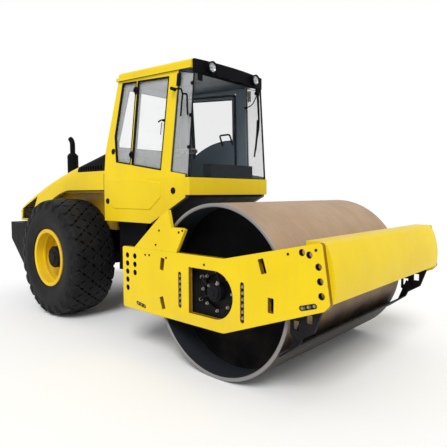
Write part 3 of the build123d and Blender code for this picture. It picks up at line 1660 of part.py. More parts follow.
with BuildPart() as steering_wheel:
    with BuildSketch(column_plane):
        Circle(column_radius)
    extrude(amount=2 * steering_rim)
    with BuildSketch(column_plane.offset(steering_rim / 2)):
        Circle(steering_radius)
        Circle(steering_radius - 2 * steering_rim, mode=Mode.SUBTRACT)
        with PolarLocations(steering_radius / 2, 3):
            Rectangle(steering_radius - steering_rim, 2 * steering_rim)
    extrude(amount=steering_rim)
steering_wheel.part.label = "steering_wheel"
export_step(steering_wheel.part, "parts/steering_wheel.step")

# Console beside the seat with the drive lever
console_inner_y = -seat_y + seat_width / 2 + console_gap
console_outer_y = cab_inner - console_wall_gap
console_y = -(console_inner_y + console_outer_y) / 2
console_top = seat_height + console_rise
lever_x = seat_x - console_lead + console_length - lever_inset
with BuildPart() as side_console:
    with BuildSketch(Plane.XY.offset(floor_top)):
        with Locations((seat_x - console_lead + console_length / 2, console_y)):
            Rectangle(console_length, console_outer_y - console_inner_y)
    extrude(amount=console_top - floor_top)
    with BuildSketch(Plane.XY.offset(console_top)):
        with Locations((lever_x, console_y)):
            Circle(lever_radius)
    extrude(amount=lever_height)
    with BuildSketch(Plane.XY.offset(console_top + lever_height)):
        with Locations((lever_x, console_y)):
            Circle(knob_radius)
    extrude(amount=knob_height)
side_console.part.label = "side_console"
export_step(side_console.part, "parts/side_console.step")

# Drum: rolled shell, and end webs with their hubs set back from its edges
web_y = drum_width / 2 - web_recess
with BuildPart() as drum_shell:
    with BuildSketch(drum_plane):
        with Locations((0, drum_radius - drum_wall / 2)):
            Rectangle(drum_width, drum_wall)
    revolve(axis=drum_axis)
    chamfer(drum_shell.edges().filter_by(GeomType.CIRCLE), drum_wall / 4)
drum_shell.part.label = "drum_shell"
export_step(drum_shell.part, "parts/drum_shell.step")

drum_bore = drum_radius - drum_wall
with BuildPart() as drum_webs:
    with BuildSketch(drum_plane):
        with Locations((-web_y + web_thickness / 2, drum_bore / 2)):
            Rectangle(web_thickness, drum_bore)
        with Locations((-web_y - drum_hub_length / 2, (drum_shaft_radius + drum_hub_radius) / 2)):
            Rectangle(drum_hub_length, drum_hub_radius - drum_shaft_radius)
    revolve(axis=drum_axis)
    mirror(about=Plane.XZ)
drum_webs.part.label = "drum_webs"
export_step(drum_webs.part, "parts/drum_webs.step")

# Drum carriers: shaft in the hub, flange on the cross plate, buffers to the side plate, motor
carrier_y = web_y + drum_hub_length + carrier_gap
carrier_width = bolt_slot_front_x - bolt_slot_rear_x + buffer_width
with BuildPart() as drum_carriers:
    with BuildSketch(Plane.XZ.offset(web_y + face_gap)):
        with Locations((drum_x, drum_radius)):
            Circle(drum_shaft_radius - running_fit)
    extrude(amount=carrier_y - web_y - face_gap)
    with BuildSketch(Plane.XZ.offset(carrier_y)):
        with Locations((drum_x, drum_radius)):
            Circle(carrier_flange_radius)
    extrude(amount=-carrier_flange_thickness)
    with BuildSketch(Plane.XZ.offset(carrier_y)):
        with Locations(((bolt_slot_rear_x + bolt_slot_front_x) / 2, bolt_slot_z)):
            RectangleRounded(carrier_width, carrier_height, buffer_width / 2)
        with Locations((drum_x, drum_radius)):
            Circle(carrier_opening, mode=Mode.SUBTRACT)
    extrude(amount=carrier_plate)
    with BuildSketch(Plane.XZ.offset(carrier_y + carrier_plate)):
        with Locations((bolt_slot_rear_x, bolt_slot_z), (bolt_slot_front_x, bolt_slot_z)):
            RectangleRounded(buffer_width, buffer_height, buffer_width / 4)
    extrude(amount=plate_inner_y - carrier_y - carrier_plate)
    with BuildSketch(Plane.XZ.offset(carrier_y)):
        with Locations((drum_x, drum_radius)):
            Circle(motor_radius)
    extrude(amount=motor_length)
    mirror(about=Plane.XZ)
drum_carriers.part.label = "drum_carriers"
export_step(drum_carriers.part, "parts/drum_carriers.step")

# Side plates of the front frame, with their window, bolt slots and holes
window_flat_x = drum_x - window_flat_reach
window_arc_x = drum_x + window_arc_reach
with BuildPart() as side_plate_right:
    with BuildSketch(Plane.XZ.offset(plate_y)) as plate_outline:
        with BuildLine():
            Polyline(
                (plate_rear, plate_top_z),
                (plate_rear, plate_low_z),
                (plate_knee_x, plate_low_z),
                (drum_x + plate_front_low_reach, plate_front_low_z),
                (drum_x + plate_nose_reach, plate_nose_z),
                (drum_x + plate_front_top_reach, plate_front_top_z),
                (plate_knee_x, plate_top_z),
                close=True,
            )
        make_face()
        knee = plate_outline.vertices().sort_by_distance((plate_knee_x, -plate_y, plate_low_z))[0]
        corners = plate_outline.vertices().filter_by(lambda corner: corner != knee)
        fillet(corners, plate_corner_radius)
        with Locations(((window_flat_x + window_arc_x) / 2, window_z)):
            Rectangle(window_arc_x - window_flat_x, 2 * window_arc_radius, mode=Mode.SUBTRACT)
        with Locations((window_arc_x, window_z)):
            Circle(window_arc_radius, mode=Mode.SUBTRACT)
        with Locations((bolt_slot_rear_x, bolt_slot_z), (bolt_slot_front_x, bolt_slot_z)):
            SlotOverall(bolt_slot_length, bolt_slot_width, rotation=90, mode=Mode.SUBTRACT)
        with Locations((plate_rear + rear_hole_inset, rear_hole_z)):
            with GridLocations(0, frame_hole_pitch, 1, 5):
                Circle(frame_hole_radius, mode=Mode.SUBTRACT)
        with Locations((plate_rear + second_hole_inset, rear_hole_z + frame_hole_pitch)):
            with GridLocations(0, frame_hole_pitch, 1, 3):
                Circle(frame_hole_radius, mode=Mode.SUBTRACT)
        with Locations(*[(drum_x + reach, height) for reach, height in lash_holes]):
            Circle(lash_hole_radius, mode=Mode.SUBTRACT)
        with Locations(
            Location((drum_x - drain_rear_reach, drain_rear_high_z, 0), (0, 0, -drain_slot_lean / 2)),
            Location((drum_x - drain_rear_reach, drain_rear_low_z, 0), (0, 0, drain_slot_lean)),
            Location((drum_x + drain_front_high_reach, drain_front_high_z, 0), (0, 0, drain_slot_lean)),
            Location((drum_x + drain_front_low_reach, drain_front_low_z, 0)),
        ):
            RectangleRounded(drain_slot_width, drain_slot_length, drain_slot_radius, mode=Mode.SUBTRACT)
        with Locations(
            Location((drum_x - foot_slot_rear_reach, foot_slot_rear_z, 0), (0, 0, -foot_slot_rear_lean)),
            Location((drum_x + foot_slot_front_reach, foot_slot_front_z, 0), (0, 0, foot_slot_front_lean)),
        ):
            SlotOverall(foot_slot_length, foot_slot_width, mode=Mode.SUBTRACT)
    extrude(amount=-plate_thickness)
    upright_edges = side_plate_right.edges().filter_by(Axis.Y)
    fillet(upright_edges.sort_by_distance((plate_knee_x, -plate_y, plate_low_z))[0], plate_knee_radius)
side_plate_right.part.label = "side_plate_right"
export_step(side_plate_right.part, "parts/side_plate_right.step")

with BuildPart() as side_plate_left:
    mirror(side_plate_right.part, about=Plane.XZ)
side_plate_left.part.label = "side_plate_left"
export_step(side_plate_left.part, "parts/side_plate_left.step")

# Rear cross member of the front frame, bored for the yoke's spindle
with BuildPart() as front_member:
    with BuildSketch(Plane.YZ.offset(member_rear)):
        with Locations((0, (member_bottom + member_top) / 2)):
            Rectangle(2 * plate_inner_y, member_top - member_bottom)
        with Locations((0, spindle_z)):
            Circle(spindle_radius + running_fit, mode=Mode.SUBTRACT)
    extrude(amount=front_member_length)
front_member.part.label = "front_member"
export_step(front_member.part, "parts/front_member.step")

# Front beam: bowed face plate with a rounded upper edge, a flange at the top and a lip below
beam_front = drum_x + front_overhang
beam_centre_x = beam_front - beam_radius
beam_top_x = beam_centre_x + (beam_radius**2 - (plate_front_top_z - beam_apex_z) ** 2) ** 0.5
beam_low_x = beam_centre_x + (beam_radius**2 - (plate_nose_z - beam_apex_z) ** 2) ** 0.5
with BuildPart() as front_beam:
    with BuildSketch(Plane.XZ.offset(-plate_inner_y)):
        with BuildLine():
            ThreePointArc(
                (beam_top_x, plate_front_top_z), (beam_front, beam_apex_z), (beam_low_x, plate_nose_z)
            )
            Polyline(
                (beam_low_x, plate_nose_z),
                (beam_low_x - beam_depth, plate_nose_z),
                (beam_low_x - beam_depth, plate_nose_z + beam_wall),
                (beam_low_x - beam_wall, plate_nose_z + beam_wall),
            )
            ThreePointArc(
                (beam_low_x - beam_wall, plate_nose_z + beam_wall),
                (beam_front - beam_wall, beam_apex_z),
                (beam_top_x - beam_wall, plate_front_top_z - beam_wall),
            )
            Polyline(
                (beam_top_x - beam_wall, plate_front_top_z - beam_wall),
                (beam_top_x - beam_depth, plate_front_top_z - beam_wall),
                (beam_top_x - beam_depth, plate_front_top_z),
                (beam_top_x, plate_front_top_z),
            )
        make_face()
    extrude(amount=2 * plate_inner_y)
    long_edges = front_beam.edges().filter_by(Axis.Y)
    fillet(long_edges.sort_by_distance((beam_top_x, 0, plate_front_top_z))[0], beam_edge_radius)
front_beam.part.label = "front_beam"
export_step(front_beam.part, "parts/front_beam.step")

# Guard plates standing on the side plates behind the drum, their rear edge folded in
with BuildPart() as frame_guards:
    with BuildSketch(Plane.XZ.offset(plate_y)):
        with BuildLine():
            Polyline(
                (drum_x - guard_rear_reach, plate_top_z),
                (drum_x - guard_fold_reach, guard_fold_z),
                (drum_x - guard_tip_reach, guard_tip_z),
                (drum_x - guard_notch_reach, guard_notch_z),
                (drum_x - guard_front_reach, guard_notch_z),
                (drum_x - guard_corner_reach, guard_corner_z),
                (drum_x - guard_foot_reach, plate_top_z),
                close=True,
            )
        make_face()
    extrude(amount=-guard_thickness)
    with BuildSketch(Plane.XZ.offset(plate_y)):
        with BuildLine():
            Polyline(
                (drum_x - guard_rear_reach, plate_top_z),
                (drum_x - guard_fold_reach, guard_fold_z),
                (drum_x - guard_fold_reach + guard_flange, guard_fold_z),
                (drum_x - guard_rear_reach + guard_flange, plate_top_z),
                close=True,
            )
        make_face()
    extrude(amount=-guard_flange_depth)
    mirror(about=Plane.XZ)
frame_guards.part.label = "frame_guards"
export_step(frame_guards.part, "parts/frame_guards.step")

# Lashing brackets inside the side plates' front feet
bracket_inner_y = plate_inner_y - bracket_thickness
with BuildPart() as lash_brackets:
    with BuildSketch(Plane.XZ.offset(bracket_inner_y)):
        with BuildLine():
            Polyline(
                (drum_x + bracket_rear_reach, bracket_rear_top_z),
                (drum_x + bracket_rear_reach, bracket_rear_low_z),
                (drum_x + bracket_foot_reach, bracket_foot_z),
                (drum_x + bracket_front_reach, bracket_front_z),
                (drum_x + bracket_tip_reach, bracket_tip_z),
                (drum_x + bracket_top_reach, bracket_top_z),
                close=True,
            )
        make_face()
        with Locations(
            (drum_x + bracket_hole_rear_reach, bracket_hole_rear_z),
            (drum_x + bracket_hole_front_reach, bracket_hole_front_z),
        ):
            Rectangle(bracket_hole_width, bracket_hole_height, mode=Mode.SUBTRACT)
    extrude(amount=bracket_thickness)
    mirror(about=Plane.XZ)
lash_brackets.part.label = "lash_brackets"
export_step(lash_brackets.part, "parts/lash_brackets.step")

# Front scraper: blade along the drum on arms from the brackets
blade_run = Vector(cos(radians(scraper_pitch)), 0, sin(radians(scraper_pitch)))
blade_side = Vector(cos(radians(scraper_angle)), 0, -sin(radians(scraper_angle)))
blade_start = Vector(drum_x, 0, drum_radius) + blade_side * (drum_radius + scraper_gap)
blade_end = blade_start + blade_run * scraper_length
blade_back = Vector(sin(radians(scraper_pitch)), 0, -cos(radians(scraper_pitch))) * scraper_thickness
arm_start = blade_start + blade_run * arm_foot + blade_back
arm_end = blade_end + blade_back
scraper_plane = Plane(
    origin=blade_start + Vector(0, bracket_inner_y, 0),
    x_dir=blade_run,
    z_dir=(0, -1, 0),
)
with BuildPart() as scraper:
    with BuildSketch(scraper_plane):
        with Locations((scraper_length / 2, -scraper_thickness / 2)):
            Rectangle(scraper_length, scraper_thickness)
    extrude(amount=2 * bracket_inner_y)
    with BuildSketch(Plane.XZ.offset(bracket_inner_y - arm_thickness)):
        with BuildLine():
            Polyline(
                (arm_start.X, arm_start.Z),
                (arm_end.X, arm_end.Z),
                (drum_x + arm_front_reach, arm_front_z),
                (drum_x + arm_rear_reach, arm_rear_z),
                close=True,
            )
        make_face()
    arm = extrude(amount=arm_thickness)
    mirror(arm, about=Plane.XZ)
scraper.part.label = "scraper"
export_step(scraper.part, "parts/scraper.step")
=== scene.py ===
import json
import math

import bmesh
import bpy
import numpy as np
from mathutils import Matrix, Vector


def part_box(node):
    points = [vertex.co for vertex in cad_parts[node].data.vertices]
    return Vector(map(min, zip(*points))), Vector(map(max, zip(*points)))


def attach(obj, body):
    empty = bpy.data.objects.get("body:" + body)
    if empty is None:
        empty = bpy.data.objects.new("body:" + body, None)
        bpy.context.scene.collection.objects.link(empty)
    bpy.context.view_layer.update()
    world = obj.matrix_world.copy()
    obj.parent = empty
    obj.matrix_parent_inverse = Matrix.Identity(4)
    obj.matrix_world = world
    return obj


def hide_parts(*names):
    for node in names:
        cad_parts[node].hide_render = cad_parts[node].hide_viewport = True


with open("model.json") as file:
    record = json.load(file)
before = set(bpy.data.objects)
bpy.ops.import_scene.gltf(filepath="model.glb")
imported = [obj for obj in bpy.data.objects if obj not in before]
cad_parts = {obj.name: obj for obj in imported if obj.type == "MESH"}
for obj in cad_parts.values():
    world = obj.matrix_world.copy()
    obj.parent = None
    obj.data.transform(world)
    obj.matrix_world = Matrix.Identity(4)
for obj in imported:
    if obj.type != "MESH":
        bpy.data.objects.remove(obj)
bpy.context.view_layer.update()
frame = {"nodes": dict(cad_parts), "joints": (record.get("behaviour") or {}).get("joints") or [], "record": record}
nodes = frame["nodes"]
slotOf = {part["node"]: part["material_slot"] for part in frame["record"]["subparts"]}
jointOf = {joint["name"]: joint for joint in frame["joints"]}
axleX, axleZ = jointOf["wheel_right_spin"]["pos_m"][0], jointOf["wheel_right_spin"]["pos_m"][2]
drumX, drumZ = jointOf["drum_spin"]["pos_m"][0], jointOf["drum_spin"]["pos_m"][2]
sideSign = {"right": -1, "left": 1}
plateY = {"outer": 1.125, "inner": 1.080}  # the two faces of a drum frame's side plate
# a cab side's half width, where it starts to lean and by how much; the rear wall's foot and slope
cabWall = {"half": 0.664, "fold": 1.750, "lean": 5.0, "rearX": 0.722, "rearFold": 2.085,
           "rearRun": (0.193, 0.829)}
print("frame loaded:", len(nodes), "nodes")


# inputs of a shader node: each a number, a colour or another node's socket
def setInputs(tree, node, inputs):
    for key, value in inputs.items():
        if isinstance(value, bpy.types.NodeSocket):
            tree.links.new(value, node.inputs[key])
        else:
            node.inputs[key].default_value = value


def addNode(tree, kind, inputs=None, **settings):
    node = tree.nodes.new(kind)
    for key, value in settings.items():
        setattr(node, key, value)
    setInputs(tree, node, inputs or {})
    return node


def asColour(value):
    return value if isinstance(value, bpy.types.NodeSocket) else (*value, 1.0)


def math2(tree, operation, a, b):
    return addNode(tree, "ShaderNodeMath", {0: a, 1: b}, operation=operation).outputs[0]


def times(tree, a, b):
    return math2(tree, "MULTIPLY", a, b)


# a value stretched from low..high onto 0..1, or onto 1..0 with low above high
def ramp(tree, value, span):
    low, high = span
    return addNode(tree, "ShaderNodeMapRange", {"Value": value, "From Min": low, "From Max": high}).outputs[0]


def dot(tree, a, b):
    return addNode(tree, "ShaderNodeVectorMath", {0: a, 1: b}, operation="DOT_PRODUCT").outputs["Value"]


def xyz(tree, vector):
    return addNode(tree, "ShaderNodeSeparateXYZ", {0: vector}).outputs


def mixColour(tree, share, first, second):
    inputs = {0: share, 6: asColour(first), 7: asColour(second)}
    return addNode(tree, "ShaderNodeMix", inputs, data_type="RGBA").outputs[2]


def noise(tree, coords, scale, detail, stretch=(1, 1, 1)):
    placed = addNode(tree, "ShaderNodeMapping", {"Vector": coords, "Scale": stretch}).outputs[0]
    inputs = {"Vector": placed, "Scale": scale, "Detail": detail}
    return addNode(tree, "ShaderNodeTexNoise", inputs).outputs[0]


def relief(tree, height, strength, depth, **more):
    inputs = {"Height": height, "Strength": strength, "Distance": depth, **more}
    return addNode(tree, "ShaderNodeBump", inputs).outputs[0]


# a new material: its tree, its Principled shader and what its Texture Coordinate node gives
def startMaterial(name):
    material = bpy.data.materials.new(name)
    material.use_nodes = True
    tree = material.node_tree
    tree.nodes.clear()
    shader = addNode(tree, "ShaderNodeBsdfPrincipled")
    addNode(tree, "ShaderNodeOutputMaterial", {0: shader.outputs[0]})
    return material, tree, shader, addNode(tree, "ShaderNodeTexCoord").outputs


# patterns that all coated finishes share: a noise is (scale, detail, stretch), a span is for its ramp
coatPattern = {"toneDetail": 5.0, "toneSpan": (0.35, 0.7), "streaks": (16.0, 4.0, (1, 1, 0.08)),
               "streakSpan": (0.5, 0.85), "patches": (5.0, 9.0), "patchSpan": (0.42, 0.72), "edgeSamples": 4,
               "rimSpan": (0.99, 0.9), "chips": (38.0, 5.0), "chipSpan": (0.56, 0.66),
               "liningGrain": (30.0, 3.0), "facingSpan": (0.5, 0.75), "depthSpan": (0.004, 0.006),
               "smears": (9.0, 6.0), "smearSpan": (0.3, 0.75), "smearShare": 0.5, "grain": (320.0, 2.0),
               "grainDepth": 0.001, "coatRough": 0.12}


# paint, cast metal and plastic: two tones, rain streaks, dust that lies low and in patches, rounded edges
# with small chips, fine grain, and a second colour on the faces that look "inward" or lie below "outside" planes:
# a slate lining in the cab, painted shade in the side plates' reveals
def coatedFinish(name, look):
    material, tree, shader, place = startMaterial(name)
    coords, pattern = place["Object"], coatPattern
    tone = ramp(tree, noise(tree, coords, look["toneScale"], pattern["toneDetail"]), pattern["toneSpan"])
    colour = mixColour(tree, tone, look["colour"], look["tone"])
    streak = ramp(tree, noise(tree, coords, *pattern["streaks"]), pattern["streakSpan"])
    colour = mixColour(tree, times(tree, streak, look["streak"]), colour, look["dust"])
    low = ramp(tree, xyz(tree, coords)[2], (look["dustTop"], look["dustFoot"]))
    patch = ramp(tree, noise(tree, coords, *pattern["patches"]), pattern["patchSpan"])
    dust = times(tree, times(tree, low, patch), look["dustShare"])
    colour = mixColour(tree, dust, colour, look["dust"])
    bevel = addNode(tree, "ShaderNodeBevel", {"Radius": look["edge"]}, samples=pattern["edgeSamples"])
    edge = bevel.outputs[0]
    flat = addNode(tree, "ShaderNodeNewGeometry").outputs["Normal"]
    rim = ramp(tree, dot(tree, edge, flat), pattern["rimSpan"])
    chip = ramp(tree, noise(tree, coords, *pattern["chips"]), pattern["chipSpan"])
    colour = mixColour(tree, times(tree, times(tree, rim, chip), look["wear"]), colour, look["bare"])
    lining = None
    if "inward" in look:
        lining = ramp(tree, dot(tree, place["Normal"], look["inward"]), pattern["facingSpan"])
    elif "outside" in look:
        depths = [math2(tree, "SUBTRACT", dot(tree, coords, way), float(np.dot(point, way)))
                  for way, point in look["outside"]]
        lining = ramp(tree, math2(tree, "MINIMUM", *depths), pattern["depthSpan"])
    # the second colour mixed in: a slate lining in the cab, painted shade in the side plates' reveals
    if lining is not None:
        grain = noise(tree, coords, *pattern["liningGrain"])
        colour = mixColour(tree, lining, colour, mixColour(tree, grain, look["lining"], look["liningTone"]))
    smear = ramp(tree, noise(tree, coords, *pattern["smears"]), pattern["smearSpan"])
    rough = addNode(tree, "ShaderNodeMapRange", {
        "Value": math2(tree, "ADD", times(tree, smear, pattern["smearShare"]), dust),
        "To Min": look["rough"], "To Max": look["roughDusty"]}).outputs[0]
    grain = noise(tree, coords, *pattern["grain"])
    setInputs(tree, shader, {
        "Base Color": colour, "Roughness": rough, "Metallic": look["metal"], "Coat Weight": look["coat"],
        "Coat Roughness": pattern["coatRough"], "Specular IOR Level": look["specular"],
        "Normal": relief(tree, grain, look["bump"], pattern["grainDepth"], Normal=edge)})
    return material


plainLook = {"dust": (0.30, 0.24, 0.17), "dustTop": 1.3, "dustFoot": 0.2, "dustShare": 0.5, "streak": 0.0,
             "toneScale": 1.6, "rough": 0.3, "roughDusty": 0.7, "metal": 0.0, "coat": 0.0, "specular": 0.5,
             "edge": 0.006, "wear": 0.0, "bare": (0.10, 0.09, 0.085), "bump": 0.04}
finishes = {
    "yellow": {**plainLook, "colour": (0.80, 0.585, 0.006), "tone": (0.74, 0.525, 0.005), "rough": 0.36,
               "dustShare": 0.22, "dustTop": 0.9, "streak": 0.07, "wear": 0.8, "coat": 0.07,
               "specular": 0.15},
    "rim": {**plainLook, "colour": (0.82, 0.56, 0.009), "tone": (0.70, 0.43, 0.009), "rough": 0.4,
            "dustTop": 1.1, "dustShare": 0.35, "wear": 0.7, "specular": 0.17},
    "black": {**plainLook, "colour": (0.005, 0.005, 0.007), "tone": (0.009, 0.009, 0.011), "rough": 0.45,
              "dustShare": 0.04, "wear": 0.2, "specular": 0.065},
    "grille": {**plainLook, "colour": (0.003, 0.003, 0.004), "tone": (0.006, 0.006, 0.007), "rough": 0.5,
               "bump": 0.12, "dustShare": 0.04, "specular": 0.045},
    "grip": {**plainLook, "colour": (0.15, 0.155, 0.16), "tone": (0.18, 0.185, 0.19), "rough": 0.5,
             "dustShare": 0.0},
    "engine": {**plainLook, "colour": (0.04, 0.04, 0.044), "tone": (0.06, 0.058, 0.055), "rough": 0.6,
               "bump": 0.2},
    # drum_inner: dark paint, darkened further to near-black as painted shade inside the drum
    "drum_inner": {**plainLook, "colour": (0.003, 0.003, 0.004), "tone": (0.006, 0.006, 0.007), "rough": 0.7,
                   "dustTop": 1.6, "dustShare": 0.04, "specular": 0.05},
    "lamp": {**plainLook, "colour": (0.02, 0.02, 0.022), "tone": (0.03, 0.03, 0.03), "rough": 0.35},
    "rubber": {**plainLook, "colour": (0.006, 0.006, 0.006), "tone": (0.011, 0.011, 0.011), "rough": 0.65,
               "dustShare": 0.06, "specular": 0.10},
    "trim": {**plainLook, "colour": (0.012, 0.015, 0.021), "tone": (0.018, 0.022, 0.029), "rough": 0.55,
             "bump": 0.15, "dustShare": 0.0, "specular": 0.10},
    "barrel": {**plainLook, "colour": (0.010, 0.010, 0.012), "tone": (0.016, 0.016, 0.018), "rough": 0.35,
               "specular": 0.13},
    "zinc": {**plainLook, "colour": (0.34, 0.31, 0.26), "tone": (0.20, 0.18, 0.15), "toneScale": 40.0,
             "metal": 0.8, "rough": 0.45, "edge": 0.002, "dustShare": 0.3},
}
materials = {slot: coatedFinish(slot + "Finish", look) for slot, look in finishes.items()}


# outer planes as (inward direction, a point on the plane): a cab side's two, below and above its fold,
# and a drum frame plate's two faces
def sidePlanes(side):
    lean = math.radians(cabWall["lean"])
    foot = (0, side * cabWall["half"], cabWall["fold"])
    return [((0, -side, 0), foot), ((0, -side * math.cos(lean), -math.sin(lean)), foot)]


def platePlanes(side):
    return [((0, -side, 0), (0, side * plateY["outer"], 0)), ((0, side, 0), (0, side * plateY["inner"], 0))]


# the cab's panels have a slate lining inside, and the cut edges and hole reveals of the side plates are painted a
# dark ochre as painted shade
run, rise = np.array(cabWall["rearRun"]) / math.hypot(*cabWall["rearRun"])
rearFoot = (axleX + cabWall["rearX"], 0, cabWall["rearFold"])
slate = {"lining": (0.055, 0.075, 0.096), "liningTone": (0.066, 0.088, 0.110)}
paleSlate = {"lining": (0.14, 0.185, 0.225), "liningTone": (0.165, 0.215, 0.255)}
# painted shade: dark ochre for the side plates' cut edges and hole reveals
revealShade = {"lining": (0.26, 0.14, 0.008), "liningTone": (0.20, 0.105, 0.008)}
liningsAndShades = {"cab_side_right": {"outside": sidePlanes(-1), **slate},
           "cab_side_left": {"outside": sidePlanes(1), **paleSlate},
           "door_left": {"outside": sidePlanes(1), **paleSlate},
           "cab_rear_wall": {"outside": [((1, 0, 0), rearFoot), ((rise, 0, -run), rearFoot)], **paleSlate},
           "cab_roof": {"inward": (0, 0, -1), **slate},
           "cab_apron": {"inward": (-1, 0, 0), **slate},
           "side_plate_right": {"outside": platePlanes(-1), **revealShade},
           "side_plate_left": {"outside": platePlanes(1), **revealShade}}
ownMaterials = {node: coatedFinish(node + "Finish", {**finishes["yellow"], **look})
                for node, look in liningsAndShades.items()}
# the wheelhouse liners: a darker ochre as painted shade under the hood, with patches of soil dust
soilAndShade = {"colour": (0.50, 0.30, 0.008), "tone": (0.36, 0.20, 0.008), "dustTop": 1.9, "dustFoot": 0.9,
          "dustShare": 0.35}
ownMaterials["wheelhouse_liners"] = coatedFinish("linerFinish", {**finishes["yellow"], **soilAndShade})

# polished rod, with faint rings of wear along it
rodLook = {"bright": (0.62, 0.62, 0.63), "dull": (0.50, 0.49, 0.47), "rings": (40.0, 4.0, (6, 1, 1)),
           "roughSpan": (-1.0, 6.0)}


def polishedFinish(name):
    look = rodLook
    material, tree, shader, place = startMaterial(name)
    wear = noise(tree, place["Object"], *look["rings"])
    setInputs(tree, shader, {"Base Color": mixColour(tree, wear, look["bright"], look["dull"]),
                             "Roughness": ramp(tree, wear, look["roughSpan"]), "Metallic": 1.0})
    return material


# clear pane: mostly see-through, with a faint cast and a few smears
paneSmears = {"smears": (3.0, 6.0), "span": (0.5, 0.8), "rough": 0.03}
paneLooks = {"glass": {"cast": (0.04, 0.055, 0.065), "smeared": (0.10, 0.12, 0.13), "alpha": 0.05},
             "hazyGlass": {"cast": (0.78, 0.80, 0.80), "smeared": (0.88, 0.90, 0.90), "alpha": 0.25},
             "lens": {"cast": (0.55, 0.60, 0.64), "smeared": (0.65, 0.70, 0.72), "alpha": 0.22},
             "redLens": {"cast": (0.45, 0.010, 0.008), "smeared": (0.55, 0.02, 0.012), "alpha": 0.92},
             "amberLens": {"cast": (0.75, 0.22, 0.008), "smeared": (0.80, 0.28, 0.012), "alpha": 0.92}}


def paneFinish(name, look):
    material, tree, shader, place = startMaterial(name)
    smear = ramp(tree, noise(tree, place["Object"], *paneSmears["smears"]), paneSmears["span"])
    setInputs(tree, shader, {"Base Color": mixColour(tree, smear, look["cast"], look["smeared"]),
                             "Alpha": look["alpha"], "Roughness": paneSmears["rough"]})
    return material


# rolled steel: tan soil film with rings rubbed bright by the ground, grey ends and a dark painted bore,
# darker towards the bottom, from mud and from painted shade below the beam and on the underside
drumLook = {"film": (0.42, 0.275, 0.155), "filmTone": (0.33, 0.215, 0.125), "steel": (0.40, 0.34, 0.29),
            "mud": (0.085, 0.066, 0.052), "wet": (0.014, 0.012, 0.011), "end": (0.22, 0.21, 0.205),
            "bore": (0.016, 0.019, 0.025), "radius": 0.75, "rings": (14.0, 8.0, (0.25, 3.0, 1)),
            "ringSpan": (0.42, 0.72), "ringShare": 0.45, "blotches": (3.2, 10.0), "blotchSpan": (0.4, 0.68),
            "specks": (42.0, 6.0), "speckSpan": (0.48, 0.7), "speckShare": 0.3, "tides": (5.0, 8.0),
            "tide": 0.35, "mudSpan": (0.28, -0.12), "mudShare": 0.85, "wetSpan": (-0.08, -0.24),
            "wetShare": 0.9, "boreSpan": (0.0, -0.05), "endSpan": (0.35, 0.6), "rough": 0.6, "metal": 0.15,
            "ringPits": 0.4, "speckPits": 0.6, "bump": 0.25, "bumpDepth": 0.003}


def drumFinish(name):
    look = drumLook
    material, tree, shader, place = startMaterial(name)
    coords, facing = place["Object"], place["Normal"]
    centred = addNode(tree, "ShaderNodeMapping", {"Vector": coords, "Location": (-drumX, 0, -drumZ)})
    parts = xyz(tree, centred.outputs[0])
    around = times(tree, math2(tree, "ARCTAN2", parts[2], parts[0]), look["radius"])
    unrolled = addNode(tree, "ShaderNodeCombineXYZ", {0: around, 1: parts[1]}).outputs[0]
    rings = ramp(tree, noise(tree, unrolled, *look["rings"]), look["ringSpan"])
    blotch = ramp(tree, noise(tree, coords, *look["blotches"]), look["blotchSpan"])
    speck = ramp(tree, noise(tree, coords, *look["specks"]), look["speckSpan"])
    colour = mixColour(tree, blotch, look["film"], look["filmTone"])
    colour = mixColour(tree, times(tree, rings, look["ringShare"]), colour, look["steel"])
    colour = mixColour(tree, times(tree, speck, look["speckShare"]), colour, look["filmTone"])
    # the lower part is darkened in two steps, by mud and by painted shade below the beam and on the underside
    ragged = math2(tree, "ADD", parts[2], times(tree, noise(tree, coords, *look["tides"]), look["tide"]))
    for darkLayer in ("mud", "wet"):
        low = ramp(tree, ragged, look[darkLayer + "Span"])
        colour = mixColour(tree, times(tree, low, look[darkLayer + "Share"]), colour, look[darkLayer])
    radial = addNode(tree, "ShaderNodeCombineXYZ", {0: parts[0], 2: parts[2]}).outputs[0]
    colour = mixColour(tree, ramp(tree, dot(tree, facing, radial), look["boreSpan"]), colour, look["bore"])
    sideways = math2(tree, "ABSOLUTE", xyz(tree, facing)[1], 0.0)
    colour = mixColour(tree, ramp(tree, sideways, look["endSpan"]), colour, look["end"])
    pits = math2(tree, "ADD", times(tree, rings, look["ringPits"]), times(tree, speck, look["speckPits"]))
    setInputs(tree, shader, {"Base Color": colour, "Roughness": look["rough"], "Metallic": look["metal"],
                             "Normal": relief(tree, pits, look["bump"], look["bumpDepth"])})
    return material


# tyre rubber: charcoal, greyer with dust in patches
tyreLook = {"rubber": (0.0055, 0.0055, 0.0065), "dust": (0.022, 0.020, 0.019), "patches": (7.0, 9.0),
            "patchSpan": (0.45, 0.8), "dustShare": 0.5, "rough": 0.6, "specular": 0.15, "grain": (160.0, 4.0),
            "bump": 0.2, "bumpDepth": 0.002}


def tyreFinish(name):
    look = tyreLook
    material, tree, shader, place = startMaterial(name)
    coords = place["Object"]
    dust = ramp(tree, noise(tree, coords, *look["patches"]), look["patchSpan"])
    colour = mixColour(tree, times(tree, dust, look["dustShare"]), look["rubber"], look["dust"])
    bump = relief(tree, noise(tree, coords, *look["grain"]), look["bump"], look["bumpDepth"])
    setInputs(tree, shader, {"Base Color": colour, "Roughness": look["rough"],
                             "Specular IOR Level": look["specular"], "Normal": bump})
    return material


# woven seat cover: a fine two-way weave with a little sheen
clothLook = {"colour": (0.050, 0.062, 0.078), "tone": (0.075, 0.090, 0.108), "tones": (6.0, 5.0),
             "thread": (0.11, 0.125, 0.145), "threadShare": 0.35, "threads": 160.0, "rough": 0.85,
             "sheen": 0.25, "bump": 0.3, "bumpDepth": 0.001}


